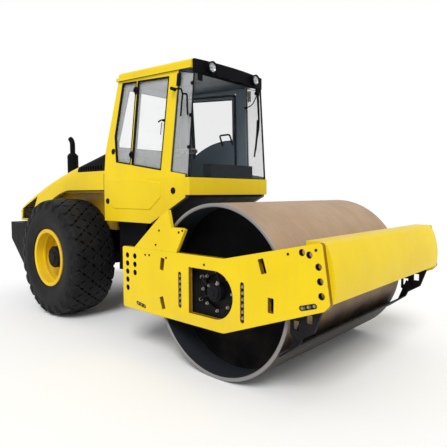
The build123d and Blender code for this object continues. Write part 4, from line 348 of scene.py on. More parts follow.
def clothFinish(name):
    look = clothLook
    material, tree, shader, place = startMaterial(name)
    waves = {"Vector": place["Object"], "Scale": look["threads"]}
    warp, weft = (addNode(tree, "ShaderNodeTexWave", waves, bands_direction=way).outputs[1] for way in "YX")
    weave = times(tree, warp, weft)
    colour = mixColour(tree, noise(tree, place["Object"], *look["tones"]), look["colour"], look["tone"])
    colour = mixColour(tree, times(tree, weave, look["threadShare"]), colour, look["thread"])
    setInputs(tree, shader, {"Base Color": colour, "Roughness": look["rough"], "Sheen Weight": look["sheen"],
                             "Normal": relief(tree, weave, look["bump"], look["bumpDepth"])})
    return material


materials.update({slot: paneFinish(slot + "Finish", look) for slot, look in paneLooks.items()})
materials["rod"] = polishedFinish("rodFinish")
materials["drum_face"] = drumFinish("drumFaceFinish")
materials["tyre"] = tyreFinish("tyreFinish")
materials["seat"] = clothFinish("seatFinish")
for pane in ("side_glass_right", "corner_glass"):
    ownMaterials[pane] = materials["hazyGlass"]
for name, node in nodes.items():
    node.data.materials.clear()
    node.data.materials.append(ownMaterials.get(name, materials[slotOf[name]]))
print("finishes set:", len(materials), "shared,", len(ownMaterials), "nodes with their own")


# four-cornered faces of a grid of points, each way closed into a ring or left open
def gridFaces(rows, cols, ringRows=False, ringCols=False):
    r = np.arange(rows if ringRows else rows - 1)[:, None]
    c = np.arange(cols if ringCols else cols - 1)[None, :]
    nextR, nextC = (r + 1) % rows, (c + 1) % cols
    corners = np.broadcast_arrays(r * cols + c, r * cols + nextC, nextR * cols + nextC, nextR * cols + c)
    return np.stack(corners, -1).reshape(-1, 4)


def unit(vectors):
    vectors = np.asarray(vectors, float)
    return vectors / np.linalg.norm(vectors, axis=-1, keepdims=True)


# evenly spaced turns of a full circle, in radians
def fullTurn(count):
    return 2 * np.pi * np.arange(count) / count


def cosSin(degrees):
    return math.cos(math.radians(degrees)), math.sin(math.radians(degrees))


# shapes are (points, lists of faces); several joined into one
def joined(*shapes):
    starts = np.cumsum([0] + [len(shape[0]) for shape in shapes])
    points = np.concatenate([shape[0] for shape in shapes])
    return points, [face + start for shape, start in zip(shapes, starts) for face in shape[1]]


# copies of a shape moved to each place
def repeated(shape, places):
    points, faces = shape
    places = np.asarray(places, float).reshape(-1, 3)
    step = len(points) * np.arange(len(places))[:, None, None]
    return ((places[:, None] + points[None]).reshape(-1, 3),
            [(face[None] + step).reshape(-1, face.shape[1]) for face in faces])


def mirrored(shape):
    points, faces = shape
    return joined(shape, (points * (1, -1, 1), [face[:, ::-1] for face in faces]))


# places on a circle about a sideways axis: (x + radius cos a, y, z + radius sin a)
def ringPlaces(x, y, z, radius, count, start=0.0):
    a = fullTurn(count) + start
    return np.stack([x + radius * np.cos(a), np.full(count, y), z + radius * np.sin(a)], -1)


# a profile of (radius, height) turned about an axis:
# centre + height * axis + radius * (cos a * u + sin a * v)
def lathe(profile, centre, axis, sides=32):
    radius, height = np.asarray(profile, float).T
    axis = unit(axis)
    offAxis = (0.31, 0.52, 0.79)
    u = unit(np.cross(axis, offAxis))
    v = np.cross(axis, u)
    a = fullTurn(sides)
    ring = np.cos(a)[:, None] * u + np.sin(a)[:, None] * v
    points = np.asarray(centre) + height[:, None, None] * axis + radius[:, None, None] * ring
    return points.reshape(-1, 3), [gridFaces(len(radius), sides, ringCols=True)]


# a ring of section radius small about an axis:
# (large + small cos b) out from the centre, small sin b along the axis
def hoop(large, small, centre, axis, sides=48, around=12):
    b = 2 * np.pi * np.arange(around + 1) / around
    return lathe(np.stack([large + small * np.cos(b), small * np.sin(b)], -1), centre, axis, sides)


# curve from p0 towards p and on to p1: p0 (1-t)^2 + 2 p t (1-t) + p1 t^2
def curve(p0, p, p1, t):
    return p0 * (1 - t) ** 2 + 2 * p * t * (1 - t) + p1 * t**2


# a bent rod's line with each corner rounded by a curve, which takes up at most a share of the runs beside it
def bent(points, radius, steps=7, share=0.45):
    points = np.asarray(points, float)
    corner = points[1:-1]

    def towards(ends):
        room = np.linalg.norm(ends - corner, axis=1) * share
        return corner + unit(ends - corner) * np.minimum(radius, room)[:, None]
    t = np.linspace(0, 1, steps)[None, :, None]
    arcs = curve(towards(points[:-2])[:, None], corner[:, None], towards(points[2:])[:, None], t)
    return np.concatenate([points[:1], arcs.reshape(-1, 3), points[-1:]])


# a round section carried along a path, drawn to a point at both ends:
# p + radius * (cos a * side + sin a * up)
def tube(path, radius, sides=12):
    path = np.asarray(path, float)
    along = unit(np.gradient(path, axis=0))
    offPath = (0.23, 0.41, 0.88)
    side = unit(np.cross(along, offPath))
    up = np.cross(side, along)
    a = fullTurn(sides)
    ring = np.cos(a)[None, :, None] * side[:, None] + np.sin(a)[None, :, None] * up[:, None]
    radius = np.broadcast_to(radius, len(path))[:, None, None]
    points = np.concatenate([np.repeat(path[:1, None], sides, 1), path[:, None] + radius * ring,
                             np.repeat(path[-1:, None], sides, 1)])
    return points.reshape(-1, 3), [gridFaces(len(path) + 2, sides, ringCols=True)]


# corners of a flat outline, turned to run left round its normal, with the mitre that carries an inward offset
def mitred(corners, normal):
    corners = np.asarray(corners, float)
    normal = unit(normal)
    area = np.cross(corners - corners[0], np.roll(corners, -1, 0) - corners[0]).sum(0)
    if area @ normal < 0:
        corners = corners[::-1]
    ahead = unit(np.roll(corners, -1, 0) - corners)
    left = np.cross(normal, ahead)
    behind = np.roll(left, 1, 0)
    return corners, (left + behind) / (1 + (left * behind).sum(1))[:, None], normal


# a profile of (inward, outward) offsets carried round a closed outline
def strip(corners, normal, profile):
    corners, mitre, normal = mitred(corners, normal)
    inward, outward = np.asarray(profile, float).T
    points = corners[:, None] + inward[None, :, None] * mitre[:, None] + outward[None, :, None] * normal
    return points.reshape(-1, 3), [gridFaces(len(corners), len(inward), True, True)]


# a plate of that outline, its front edge chamfered:
# rings at 0, depth - chamfer and depth, and two closing faces
def slab(corners, normal, depth, chamfer=0.002):
    corners, mitre, normal = mitred(corners, normal)
    inward, outward = np.array([0, 0, chamfer]), np.array([0, depth - chamfer, depth])
    points = corners[None] + inward[:, None, None] * mitre + outward[:, None, None] * normal
    count = len(corners)
    closing = [np.arange(count)[None, ::-1], np.arange(count)[None] + 2 * count]
    return points.reshape(-1, 3), [gridFaces(3, count, ringCols=True)] + closing


# outline of a straight slot with round ends, at an angle in the X-Z plane
def slotOutline(x, y, z, length, width, lean, steps=8):
    a = np.linspace(-np.pi / 2, np.pi / 2, steps)
    right = np.stack([length / 2 - width / 2 + width / 2 * np.cos(a), width / 2 * np.sin(a)], -1)
    flat = np.concatenate([right, -right])
    c, s = cosSin(lean)
    return np.stack([x + c * flat[:, 0] - s * flat[:, 1], np.full(len(flat), y),
                     z + s * flat[:, 0] + c * flat[:, 1]], -1)


# arrays into an object: doubles merged, faces turned outward, sharp above an angle
def addPiece(name, shape, body, slot, finish=None, sharp=35):
    points, faces = shape
    mesh = bpy.data.meshes.new(name)
    mesh.from_pydata(points.tolist(), [], [corner for face in faces for corner in face.tolist()])
    work = bmesh.new()
    work.from_mesh(mesh)
    bmesh.ops.remove_doubles(work, verts=work.verts, dist=1e-6)
    bmesh.ops.recalc_face_normals(work, faces=work.faces)
    work.to_mesh(mesh)
    work.free()
    mesh.shade_smooth()
    mesh.set_sharp_from_angle(angle=math.radians(sharp))
    piece = bpy.data.objects.new(name, mesh)
    bpy.context.scene.collection.objects.link(piece)
    mesh.materials.append(materials[finish or slot])
    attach(piece, body)
    return piece


# tyre: a turned carcass with ribs on its walls, and rows of diamond blocks that run over the shoulders.
# The wall is (radius, half width) from bead to crown, a block ring is (share of outline, share of height)
tyreShape = {"y": 0.790, "crown": 0.730, "sides": 108, "sharp": 28,
             "wall": [(0.3405, 0.2490), (0.3690, 0.2495), (0.3800, 0.2570), (0.4000, 0.2660),
                      (0.4060, 0.2700), (0.4160, 0.2700), (0.4220, 0.2705), (0.4700, 0.2830),
                      (0.5300, 0.2930), (0.5800, 0.2930), (0.6080, 0.2890), (0.6120, 0.2920),
                      (0.6240, 0.2900), (0.6280, 0.2850), (0.6700, 0.2740), (0.6930, 0.2640),
                      (0.7060, 0.2480), (0.7080, 0.2000), (0.7230, 0.1000)],
             "count": 24, "rowStep": 0.116, "groove": 0.0085, "notch": 0.009, "edgeSteps": 5,
             "outerEdge": 0.291,
             "blockRings": [(0.0, -0.1), (1.05, -0.1), (1.0, 0.85), (0.94, 1.0), (0.5, 1.0), (0.0, 1.0)],
             "topY": [0, 0.10, 0.19, 0.24, 0.266, 0.282, 0.294],
             "topR": [0.7595, 0.755, 0.745, 0.735, 0.722, 0.700, 0.665],
             "floorY": [0, 0.10, 0.20, 0.248, 0.264, 0.274, 0.288],
             "floorR": [0.730, 0.722, 0.706, 0.694, 0.680, 0.660, 0.622]}


# outline of a diamond block, (across, around) from its middle, cut at the shoulder:
# each edge is notched by notch * sin(3 pi t) along it
def diamond(wide, long, cut):
    t = np.linspace(0, 1, tyreShape["edgeSteps"] + 1)[:-1, None]
    wave = tyreShape["notch"] * np.sin(t * 3 * np.pi)
    corners = np.array([(wide, 0), (0, long), (-wide, 0), (0, -long)])
    edges = []
    for start, end in zip(corners, np.roll(corners, -1, 0)):
        across = unit((end[1] - start[1], start[0] - end[0]))
        edges.append(start + (end - start) * t + across * wave)
    outline = np.concatenate(edges)
    outline[:, 0] = np.minimum(outline[:, 0], cut)
    return outline


# block rings: y = place + k u, angle = turn + k v / r, r = floor(y) + (top(y) - floor(y)) h for each (k, h)
def treadRow(outline, turns, side, place):
    look = tyreShape
    k, h = np.array(look["blockRings"]).T
    u, v = outline.T
    y = place + k[:, None] * u
    floor = np.interp(np.abs(y), look["floorY"], look["floorR"])
    top = np.interp(np.abs(y), look["topY"], look["topR"])
    r = floor + (top - floor) * h[:, None]
    angle = turns[:, None, None] + k[:, None] * v / look["topR"][0]
    points = np.stack([axleX + r * np.cos(angle), np.broadcast_to(side * y, angle.shape),
                       axleZ + r * np.sin(angle)], -1)
    step = points[0, ..., 0].size * np.arange(len(turns))[:, None, None]
    return points.reshape(-1, 3), [(gridFaces(len(k), len(u), ringCols=True)[None] + step).reshape(-1, 4)]


def tyre(side):
    look = tyreShape
    half = np.concatenate([look["wall"], [(look["crown"], 0.0)]])
    section = np.concatenate([half, (half[:-1] * (1, -1))[::-1], half[:1]])
    carcass = lathe(section, (axleX, 0, axleZ), (0, 1, 0), look["sides"])
    turns = fullTurn(look["count"])
    halfStep = np.pi / look["count"]
    wide = look["rowStep"] - look["groove"]
    long = halfStep * look["topR"][0] - look["groove"]
    whole = diamond(wide, long, wide)
    outer = diamond(wide, long, look["outerEdge"] - 2 * look["rowStep"])
    rows = [treadRow(whole, turns, 1, 0.0)]
    for way in (1, -1):
        rows.append(treadRow(whole, turns + halfStep, way, look["rowStep"]))
        rows.append(treadRow(outer, turns, way, 2 * look["rowStep"]))
    points, faces = joined(carcass, *rows)
    return points * (1, -side, 1) + (0, side * look["y"], 0), faces


for name, side in sideSign.items():
    piece = addPiece("tread_" + name, tyre(side), "wheel_" + name, "tyre", sharp=tyreShape["sharp"])
    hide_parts("tyre_" + name)
print("tyres built")

# hex head on a washer, standing on a face: turned profiles in shares of the bolt's size
boltShape = {"head": [(0, 0), (1, 0), (1, 0.75), (0.85, 0.95), (0, 0.95)], "headSides": 6, "lift": 0.25,
             "washer": [(0, 0), (1.25, 0), (1.25, 0.2), (1.15, 0.27), (0, 0.27)], "washerSides": 20}


def boltHead(size, axis):
    look = boltShape
    head = lathe(size * np.array(look["head"]), size * look["lift"] * np.array(axis), axis, look["headSides"])
    washer = lathe(size * np.array(look["washer"]), (0, 0, 0), axis, look["washerSides"])
    return joined(head, washer)


# bolts on a backing bar in each slot of the plate: (X from the drum, Z, lean, length, width, bolts)
plateBolts = {"bar": 0.026, "size": 0.0140, "pitch": 0.050,
              "slots": [(-0.370, 0.726, 90, 0.325, 0.0405, 6), (0.350, 0.726, 90, 0.325, 0.0405, 6),
                        (-0.930, 0.500, -9, 0.149, 0.0365, 3), (0.942, 0.792, 17, 0.149, 0.0365, 3)]}


def addPlateBolts():
    look = plateBolts
    for name, side in sideSign.items():
        axis = (0, side, 0)
        seat = side * (plateY["inner"] + look["bar"])
        bars, places = [], []
        for x, z, lean, length, width, count in look["slots"]:
            outline = slotOutline(drumX + x, side * plateY["inner"], z, length, width, lean)
            bars.append(slab(outline, axis, look["bar"]))
            c, s = cosSin(lean)
            for along in look["pitch"] * (np.arange(count) - (count - 1) / 2):
                places.append((drumX + x + c * along, seat, z + s * along))
        bolts = repeated(boltHead(look["size"], axis), places)
        addPiece("slot_bolts_" + name, bolts, "front_frame", "rod", "zinc")
        addPiece("slot_bars_" + name, joined(*bars), "front_frame", "black")


# thin dark sleeves that line the round holes of the plates as painted shade in their reveals, the bore left
# open. Rear columns are (X from the plate's end, middle Z, holes), lashing holes are (X from the drum, Z)
holeShadeSleeves = {"inner": 1.081, "outer": 1.1225, "wall": 0.0006, "gap": 0.0001, "sides": 28, "pitch": 0.0815,
                "rearColumns": [(0.078, 0.805, 5), (0.198, 0.8865, 3)], "rearRadius": 0.028,
                "lashRadius": 0.025,
                "lash": [(0.891, 1.170), (0.950, 1.158), (1.022, 1.082), (1.036, 0.983), (1.048, 0.884)]}


def addHoleShadeSleeves():
    look = holeShadeSleeves
    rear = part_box("side_plate_right")[0][0]
    holes = [(look["rearRadius"], rear + inset, z + look["pitch"] * (step - (count - 1) / 2))
             for inset, z, count in look["rearColumns"] for step in range(count)]
    holes += [(look["lashRadius"], drumX + x, z) for x, z in look["lash"]]
    y0, y1 = look["inner"], look["outer"]
    shapes = []
    for radius, x, z in holes:
        r0, r1 = radius - look["wall"], radius - look["gap"]
        section = [(r0, y0), (r1, y0), (r1, y1), (r0, y1), (r0, y0)]
        shapes.append(lathe(section, (x, 0, z), (0, 1, 0), look["sides"]))
    addPiece("plate_sleeves", mirrored(joined(*shapes)), "front_frame", "rubber")


# small round-headed screws along the plate's upper edge and on the guard, at (X, Z)
plateScrews = {"head": [(0, 0), (0.010, 0), (0.010, 0.0035), (0.007, 0.0062), (0, 0.007)], "sides": 14,
               "places": [(0.926, 0.996), (0.987, 0.999), (1.230, 0.995), (1.716, 0.983), (2.555, 1.149),
                          (2.781, 1.196), (1.136, 1.240), (1.405, 1.238), (1.452, 1.255), (1.085, 1.105)]}


def addPlateScrews():
    look = plateScrews
    shapes = []
    for side in sideSign.values():
        head = lathe(look["head"], (0, 0, 0), (0, side, 0), look["sides"])
        shapes.append(repeated(head, [(x, side * plateY["outer"], z) for x, z in look["places"]]))
    addPiece("plate_screws", joined(*shapes), "front_frame", "black")


# drum motor's ports: elbows from the motor back to the carrier with hex unions, the motor's cap,
# and the bolts round the carrier. Pipes run through (X from the drum, Y, Z)
motorPorts = {
    "pipes": [[(-0.045, 1.060, 0.79), (-0.10, 1.062, 0.80), (-0.165, 1.058, 0.86), (-0.165, 1.030, 0.86)],
              [(-0.035, 1.060, 0.72), (-0.11, 1.064, 0.70), (-0.180, 1.060, 0.66), (-0.180, 1.030, 0.66)],
              [(0.03, 1.062, 0.82), (0.05, 1.066, 0.88), (0.02, 1.062, 0.925), (0.02, 1.030, 0.925)]],
    "pipe": 0.011, "bend": 0.035,
    "union": [(0, -0.004), (0.019, -0.004), (0.019, 0.012), (0.0152, 0.016), (0.0152, 0.03), (0, 0.03)],
    "unionSides": 6,
    "cap": [(0, 0), (0.062, 0), (0.062, 0.010), (0.052, 0.018), (0.030, 0.020), (0.026, 0.032), (0, 0.034)],
    "capSides": 36, "face": 1.075, "carrier": 1.030, "boltRing": 0.168, "bolts": 8, "bolt": 0.013}


def addMotorPorts():
    look = motorPorts
    pipes, unions = [], []
    for path in look["pipes"]:
        route = np.array(path) + (drumX, 0, 0)
        pipes.append(tube(bent(route, look["bend"]), look["pipe"]))
        for end, inner in ((route[0], route[1]), (route[-1], route[-2])):
            unions.append(lathe(look["union"], end, inner - end, look["unionSides"]))
    cap = lathe(look["cap"], (drumX, look["face"], drumZ), (0, 1, 0), look["capSides"])
    addPiece("motor_pipes", mirrored(joined(*pipes)), "front_frame", "black")
    addPiece("motor_unions", mirrored(joined(*unions)), "front_frame", "rod", "zinc")
    addPiece("motor_caps", mirrored(cap), "front_frame", "black")
    places = ringPlaces(drumX, look["carrier"], drumZ, look["boltRing"], look["bolts"])
    bolts = repeated(boltHead(look["bolt"], (0, 1, 0)), places)
    addPiece("carrier_bolts", mirrored(bolts), "front_frame", "rod", "zinc")


addPlateBolts()
addHoleShadeSleeves()
addPlateScrews()
addMotorPorts()
print("front frame fittings built")

# wheel nuts round the rim's disc, a cap with screws on the hub's nose,
# and a tyre valve at (X, Y, Z) from the middle of the axle
wheelFittings = {"disc": 0.811, "nutRing": 0.168, "nuts": 10, "nut": 0.017, "nutTurn": 0.2,
                 "nose": 0.884, "screwFace": 0.988, "screwRing": 0.088, "screws": 8, "screw": 0.009,
                 "cap": [(0, 0), (0.139, 0), (0.139, 0.085), (0.131, 0.097), (0.115, 0.103), (0.062, 0.105),
                         (0.058, 0.116), (0, 0.118)], "capSides": 48,
                 "valve": [(0.190, 0.885, -0.255), (0.165, 0.915, -0.222)], "valveRadius": 0.006}


def addWheelFittings():
    look = wheelFittings
    for name, side in sideSign.items():
        axis, body = (0, side, 0), "wheel_" + name
        nuts = ringPlaces(axleX, side * look["disc"], axleZ, look["nutRing"], look["nuts"], look["nutTurn"])
        screws = ringPlaces(axleX, side * look["screwFace"], axleZ, look["screwRing"], look["screws"])
        cap = lathe(look["cap"], (axleX, side * look["nose"], axleZ), axis, look["capSides"])
        hub = joined(repeated(boltHead(look["screw"], axis), screws), cap)
        valve = tube(np.array(look["valve"]) * (1, side, 1) + (axleX, 0, axleZ), look["valveRadius"])
        addPiece("wheel_nuts_" + name, repeated(boltHead(look["nut"], axis), nuts), body, "rod", "zinc")
        addPiece("hub_cap_" + name, hub, body, "black")
        addPiece("valve_" + name, valve, body, "rubber")


addWheelFittings()
print("wheel fittings built")


# places on a cab side from (X from the axle, Z, stand off its outer face), side -1 being the right one:
# its outer face is half a width out, less the lean above the fold
def onWall(points, side):
    x, z, out = np.asarray(points, float).T
    lean = math.radians(cabWall["lean"])
    up = np.maximum(z - cabWall["fold"], 0)
    leaning = z > cabWall["fold"]
    y = cabWall["half"] - up * math.tan(lean) + out * np.where(leaning, math.cos(lean), 1)
    return np.stack([axleX + x, side * y, z + out * np.where(leaning, math.sin(lean), 0)], -1)


# the same for a flat list of (X, Z) at one stand
def outlineOnWall(places, side, out=0.0):
    return onWall([(x, z, out) for x, z in places], side)


def wallNormal(side):
    c, s = cosSin(cabWall["lean"])
    return np.array([0, side * c, s])


# rubber seals that line each window's reveal outside and inside the glass, (top, foot) off the wall's face.
# Side panes are (X from the axle, Z), the rear window (Y, way up the slope), the screen (Y, Z)
seals = {"width": 0.010, "lip": 0.003, "lipFoot": 0.0045, "chamfer": 0.002,
         "outer": (0.004, -0.0215), "inner": (-0.0285, -0.053),
         "rearPane": [(0.960, 1.957), (1.240, 1.9151), (1.275, 2.8614), (1.005, 2.882), (0.903, 2.262)],
         "mainPane": [(1.268, 1.9109), (1.789, 1.8328), (1.842, 2.818), (1.303, 2.8592)],
         "doorArch": [(1.002, 2.060), (1.377, 2.215), (1.7525, 2.245)], "archSteps": 15,
         "doorPane": [(1.783, 2.759), (1.014, 2.8268), (1.002, 2.262)],
         "cornerPane": [(1.944, 1.8096), (2.175, 1.775), (2.175, 1.752), (2.199, 1.752), (2.199, 2.809),
                        (2.175, 2.809), (1.987, 2.858)], "cornerSeal": (0.007, -0.019, -0.031),
         "rearWindow": [(-0.5047, 0.07), (0.5047, 0.07), (0.4322, 0.781), (-0.4322, 0.781)],
         "screen": [(-0.645, 1.746), (0.645, 1.746), (0.552, 2.809), (-0.552, 2.809)], "screenX": 2.200,
         "screenSeal": (0.009, 0.009, -0.002)}


# seal section with a lip that laps the wall
def lippedProfile(width, high, low):
    lip, foot = seals["lip"], high - seals["lipFoot"]
    return [(0, low), (width, low), (width, high - lip), (width - lip, high), (-lip, high),
            (-2 * lip, high - lip), (-2 * lip, foot), (0, foot)]


def flatProfile(width, high, low):
    chamfer = seals["chamfer"]
    return [(0, low), (width, low), (width, high - chamfer), (width - chamfer, high), (0.0, high)]


def sealPair(corners, normal):
    return [strip(corners, normal, lippedProfile(seals["width"], *seals["outer"])),
            strip(corners, normal, flatProfile(seals["width"], *seals["inner"]))]


def addSeals():
    right = []
    for pane in ("rearPane", "mainPane"):
        right += sealPair(outlineOnWall(seals[pane], -1), wallNormal(-1))
    addPiece("seals_right", joined(*right), "rear_frame", "rubber")
    start, top, end = np.array(seals["doorArch"])
    t = np.linspace(0, 1, seals["archSteps"])[:, None]
    arch = curve(start, 2 * top - (start + end) / 2, end, t)  # goes through its top at the middle
    outline = np.concatenate([arch, seals["doorPane"]])
    addPiece("seal_door", joined(*sealPair(outlineOnWall(outline, 1), wallNormal(1))), "door", "rubber")
    section = flatProfile(*seals["cornerSeal"])
    front = [strip(outlineOnWall(seals["cornerPane"], side), wallNormal(side), section)
             for side in sideSign.values()]
    corners = [(axleX + seals["screenX"], y, z) for y, z in seals["screen"]]
    front.append(strip(corners, (1, 0, 0), flatProfile(*seals["screenSeal"])))
    addPiece("seals_screen", joined(*front), "rear_frame", "rubber")
    corners = [np.array(rearFoot) + (up * run, y, up * rise) for y, up in seals["rearWindow"]]
    addPiece("seals_rear", joined(*sealPair(corners, (-rise, 0, run))), "rear_frame", "rubber")


# plugs in the cab's sides, hinge plates with knobs and loops on the window bar, a latch with its lever and
# pull, buttons on the corner pane, and the dark inset at the pillar's head, at (X from the axle, Z, stand)
cabFittings = {
    "plugs": [(0.890, 2.085), (0.795, 1.490), (1.995, 1.610)], "plugSides": 28,
    "plug": [(0, 0), (0.034, 0), (0.034, 0.006), (0.02788, 0.011), (0.02244, 0.011), (0.0187, 0.007),
             (0, 0.006)],
    "knobs": [(1.272, 2.757), (1.258, 2.022)], "knobSides": 20,
    "knob": [(0, 0), (0.020, 0), (0.020, 0.014), (0.012, 0.018), (0.012, 0.030), (0, 0.032)],
    "loop": (0.028, 0.007), "loopStand": 0.026, "loopAhead": 0.024, "loopSides": (28, 8),
    "hinge": [(-0.020, 0, -0.042), (0.020, 0, -0.042), (0.020, 0, 0.042), (-0.020, 0, 0.042)],
    "hingeDepth": 0.007, "latch": (1.800, 2.359), "latchSides": 16,
    "latchPin": [(0, -0.02), (0.014, -0.02), (0.014, 0.016), (0.008, 0.02), (0, 0.02)],
    "lever": [(1.800, 2.359, 0.014), (1.765, 2.363, 0.018), (1.725, 2.347, 0.014)],
    "leverBend": 0.02, "leverRadius": 0.008,
    "pull": [(1.780, 2.339, 0.012), (1.766, 2.209, 0.010)], "pullRadius": 0.004,
    "buttons": [(2.186, 2.376), (2.186, 2.052), (2.186, 2.700)], "buttonSides": 18, "buttonStand": -0.022,
    "button": [(0, 0), (0.018, 0), (0.018, 0.010), (0.011, 0.016), (0, 0.016)],
    "inset": [(1.966, 2.700), (2.030, 2.698), (2.036, 2.822), (1.972, 2.828)],
    "insetDepth": 0.003, "insetChamfer": 0.001}


def addCabFittings():
    look = cabFittings
    plugs = []
    for side in sideSign.values():
        for seat in outlineOnWall(look["plugs"], side):
            normal = wallNormal(side) if seat[2] > cabWall["fold"] else (0, side, 0)
            plugs.append(lathe(look["plug"], seat, normal, look["plugSides"]))
    addPiece("side_plugs", joined(*plugs), "rear_frame", "rubber")
    normal = wallNormal(-1)
    fittings = []
    for seat in outlineOnWall(look["knobs"], -1):
        fittings.append(lathe(look["knob"], seat, normal, look["knobSides"]))
        centre = seat + normal * look["loopStand"] + (look["loopAhead"], 0, 0)
        fittings.append(hoop(*look["loop"], centre, normal, *look["loopSides"]))
        fittings.append(slab(seat + look["hinge"], normal, look["hingeDepth"]))
    seat = outlineOnWall([look["latch"]], -1)[0]
    fittings.append(lathe(look["latchPin"], seat, normal, look["latchSides"]))
    fittings.append(tube(bent(onWall(look["lever"], -1), look["leverBend"]), look["leverRadius"]))
    fittings.append(tube(onWall(look["pull"], -1), look["pullRadius"]))
    for seat in outlineOnWall(look["buttons"], -1, look["buttonStand"]):
        fittings.append(lathe(look["button"], seat, normal, look["buttonSides"]))
    addPiece("window_fittings", joined(*fittings), "rear_frame", "grille")
    depths = (look["insetDepth"], look["insetChamfer"])
    insets = [slab(outlineOnWall(look["inset"], side), wallNormal(side), *depths)
              for side in sideSign.values()]
    addPiece("pillar_insets", joined(*insets), "rear_frame", "grille")


# wiper on the screen's left, with (Y, Z) on a plane ahead of the axle: pivot under the visor, arm,
# a blade and its rubber held by a claw, and a second stay with its foot
wiper = {"plane": 2.215, "bend": 0.05,
         "arm": [(0.452, 2.748), (0.481, 2.400), (0.446, 2.230)], "armBend": 0.1, "armStand": 0.020,
         "armRadius": [0.014] + 7 * [0.012] + [0.008],
         "blade": [(0.470, 2.440), (0.462, 2.300), (0.440, 2.150), (0.411, 2.007)], "bladeStand": 0.007,
         "bladeRadius": 0.0085, "rubberStand": -0.001, "rubberRadius": 0.005, "rubberSides": 6,
         "claw": [(0.464, 2.330), (0.452, 2.230), (0.428, 2.085)], "clawStand": 0.016,
         "stay": [(0.452, 2.735), (0.36, 2.60), (0.255, 2.555)], "stayStand": 0.014,
         "rod": 0.006, "rodSides": 8, "pivotSides": 20, "footSides": 14,
         "pivot": [(0, -0.010), (0.022, -0.010), (0.022, 0.016), (0.014, 0.022), (0, 0.022)],
         "foot": [(0, -0.010), (0.012, -0.010), (0.012, 0.018), (0, 0.020)]}


def addWiper():
    look = wiper
    x = axleX + look["plane"]

    def line(key, stand):
        return [(x + look[stand], y, z) for y, z in look[key]]
    shapes = [lathe(look["pivot"], (x, *look["arm"][0]), (1, 0, 0), look["pivotSides"]),
              tube(bent(line("arm", "armStand"), look["armBend"]), look["armRadius"]),
              tube(line("blade", "bladeStand"), look["bladeRadius"], look["rodSides"]),
              tube(line("blade", "rubberStand"), look["rubberRadius"], look["rubberSides"]),
              tube(bent(line("claw", "clawStand"), look["bend"]), look["rod"], look["rodSides"]),
              tube(bent(line("stay", "stayStand"), look["bend"]), look["rod"], look["rodSides"]),
              lathe(look["foot"], (x, *look["stay"][-1]), (1, 0, 0), look["footSides"])]
    addPiece("wiper", joined(*shapes), "rear_frame", "grille")


# inside the door, a grab handle below the pane; in the opening, a stop of three bars, rear, head and front,
# that laps the door's inner face: places are (X from the axle, Z, stand)
doorInside = {"handle": [(1.570, 2.195, -0.050), (1.570, 2.330, -0.100), (1.740, 2.330, -0.100),
                         (1.740, 2.205, -0.050)], "rod": 0.011, "bend": 0.03,
              "edge": [(0.957, 2.262), (0.969, 2.8718), (1.828, 2.804), (1.775, 1.840)], "stand": -0.0605,
              "lap": 0.020, "overFrame": 0.010, "depth": 0.009}


def addDoorInside():
    look = doorInside
    handle = tube(bent(onWall(look["handle"], 1), look["bend"]), look["rod"])
    addPiece("door_handle", handle, "door", "grille")
    normal = wallNormal(1)
    edge = outlineOnWall(look["edge"], 1, look["stand"])
    bars = []
    for p, q in zip(edge[:-1], edge[1:]):
        inward = np.cross(unit(q - p), normal)
        if inward @ (edge.mean(0) - p) < 0:
            inward = -inward
        over, lap = -look["overFrame"] * inward, look["lap"] * inward
        bars.append(slab([p + over, q + over, q + lap, p + lap], normal, look["depth"]))
    addPiece("door_stop", joined(*bars), "rear_frame", "rubber")


# work lamps: a bright bowl, a bulb and a ribbed lens; rear lamps: red, amber and clear lenses side by side
lamps = {"face": 2.278, "y": 0.360, "z": 2.875, "radius": 0.047, "sides": 36,
         "bowlHole": 0.06, "bowlSteps": 9, "bowlFoot": -0.028, "bowlDepth": 0.0275, "bowlWall": 0.0012,
         "lensFoot": -0.0005, "lensEdge": 0.0015, "lensCrown": 0.0065, "lensSteps": 10, "rib": 0.0006,
         "ribTurns": 40, "bulbSides": 16,
         "bulb": [(0, -0.026), (0.007, -0.026), (0.007, -0.016), (0.010, -0.011), (0.007, -0.005),
                  (0, -0.004)],
         "tail": [(-0.073, "redLens"), (0.0, "amberLens"), (0.073, "lens")], "tailY": 0.600,
         "tailHalf": 0.033, "tailEdge": 0.008, "tailDepth": 0.005}


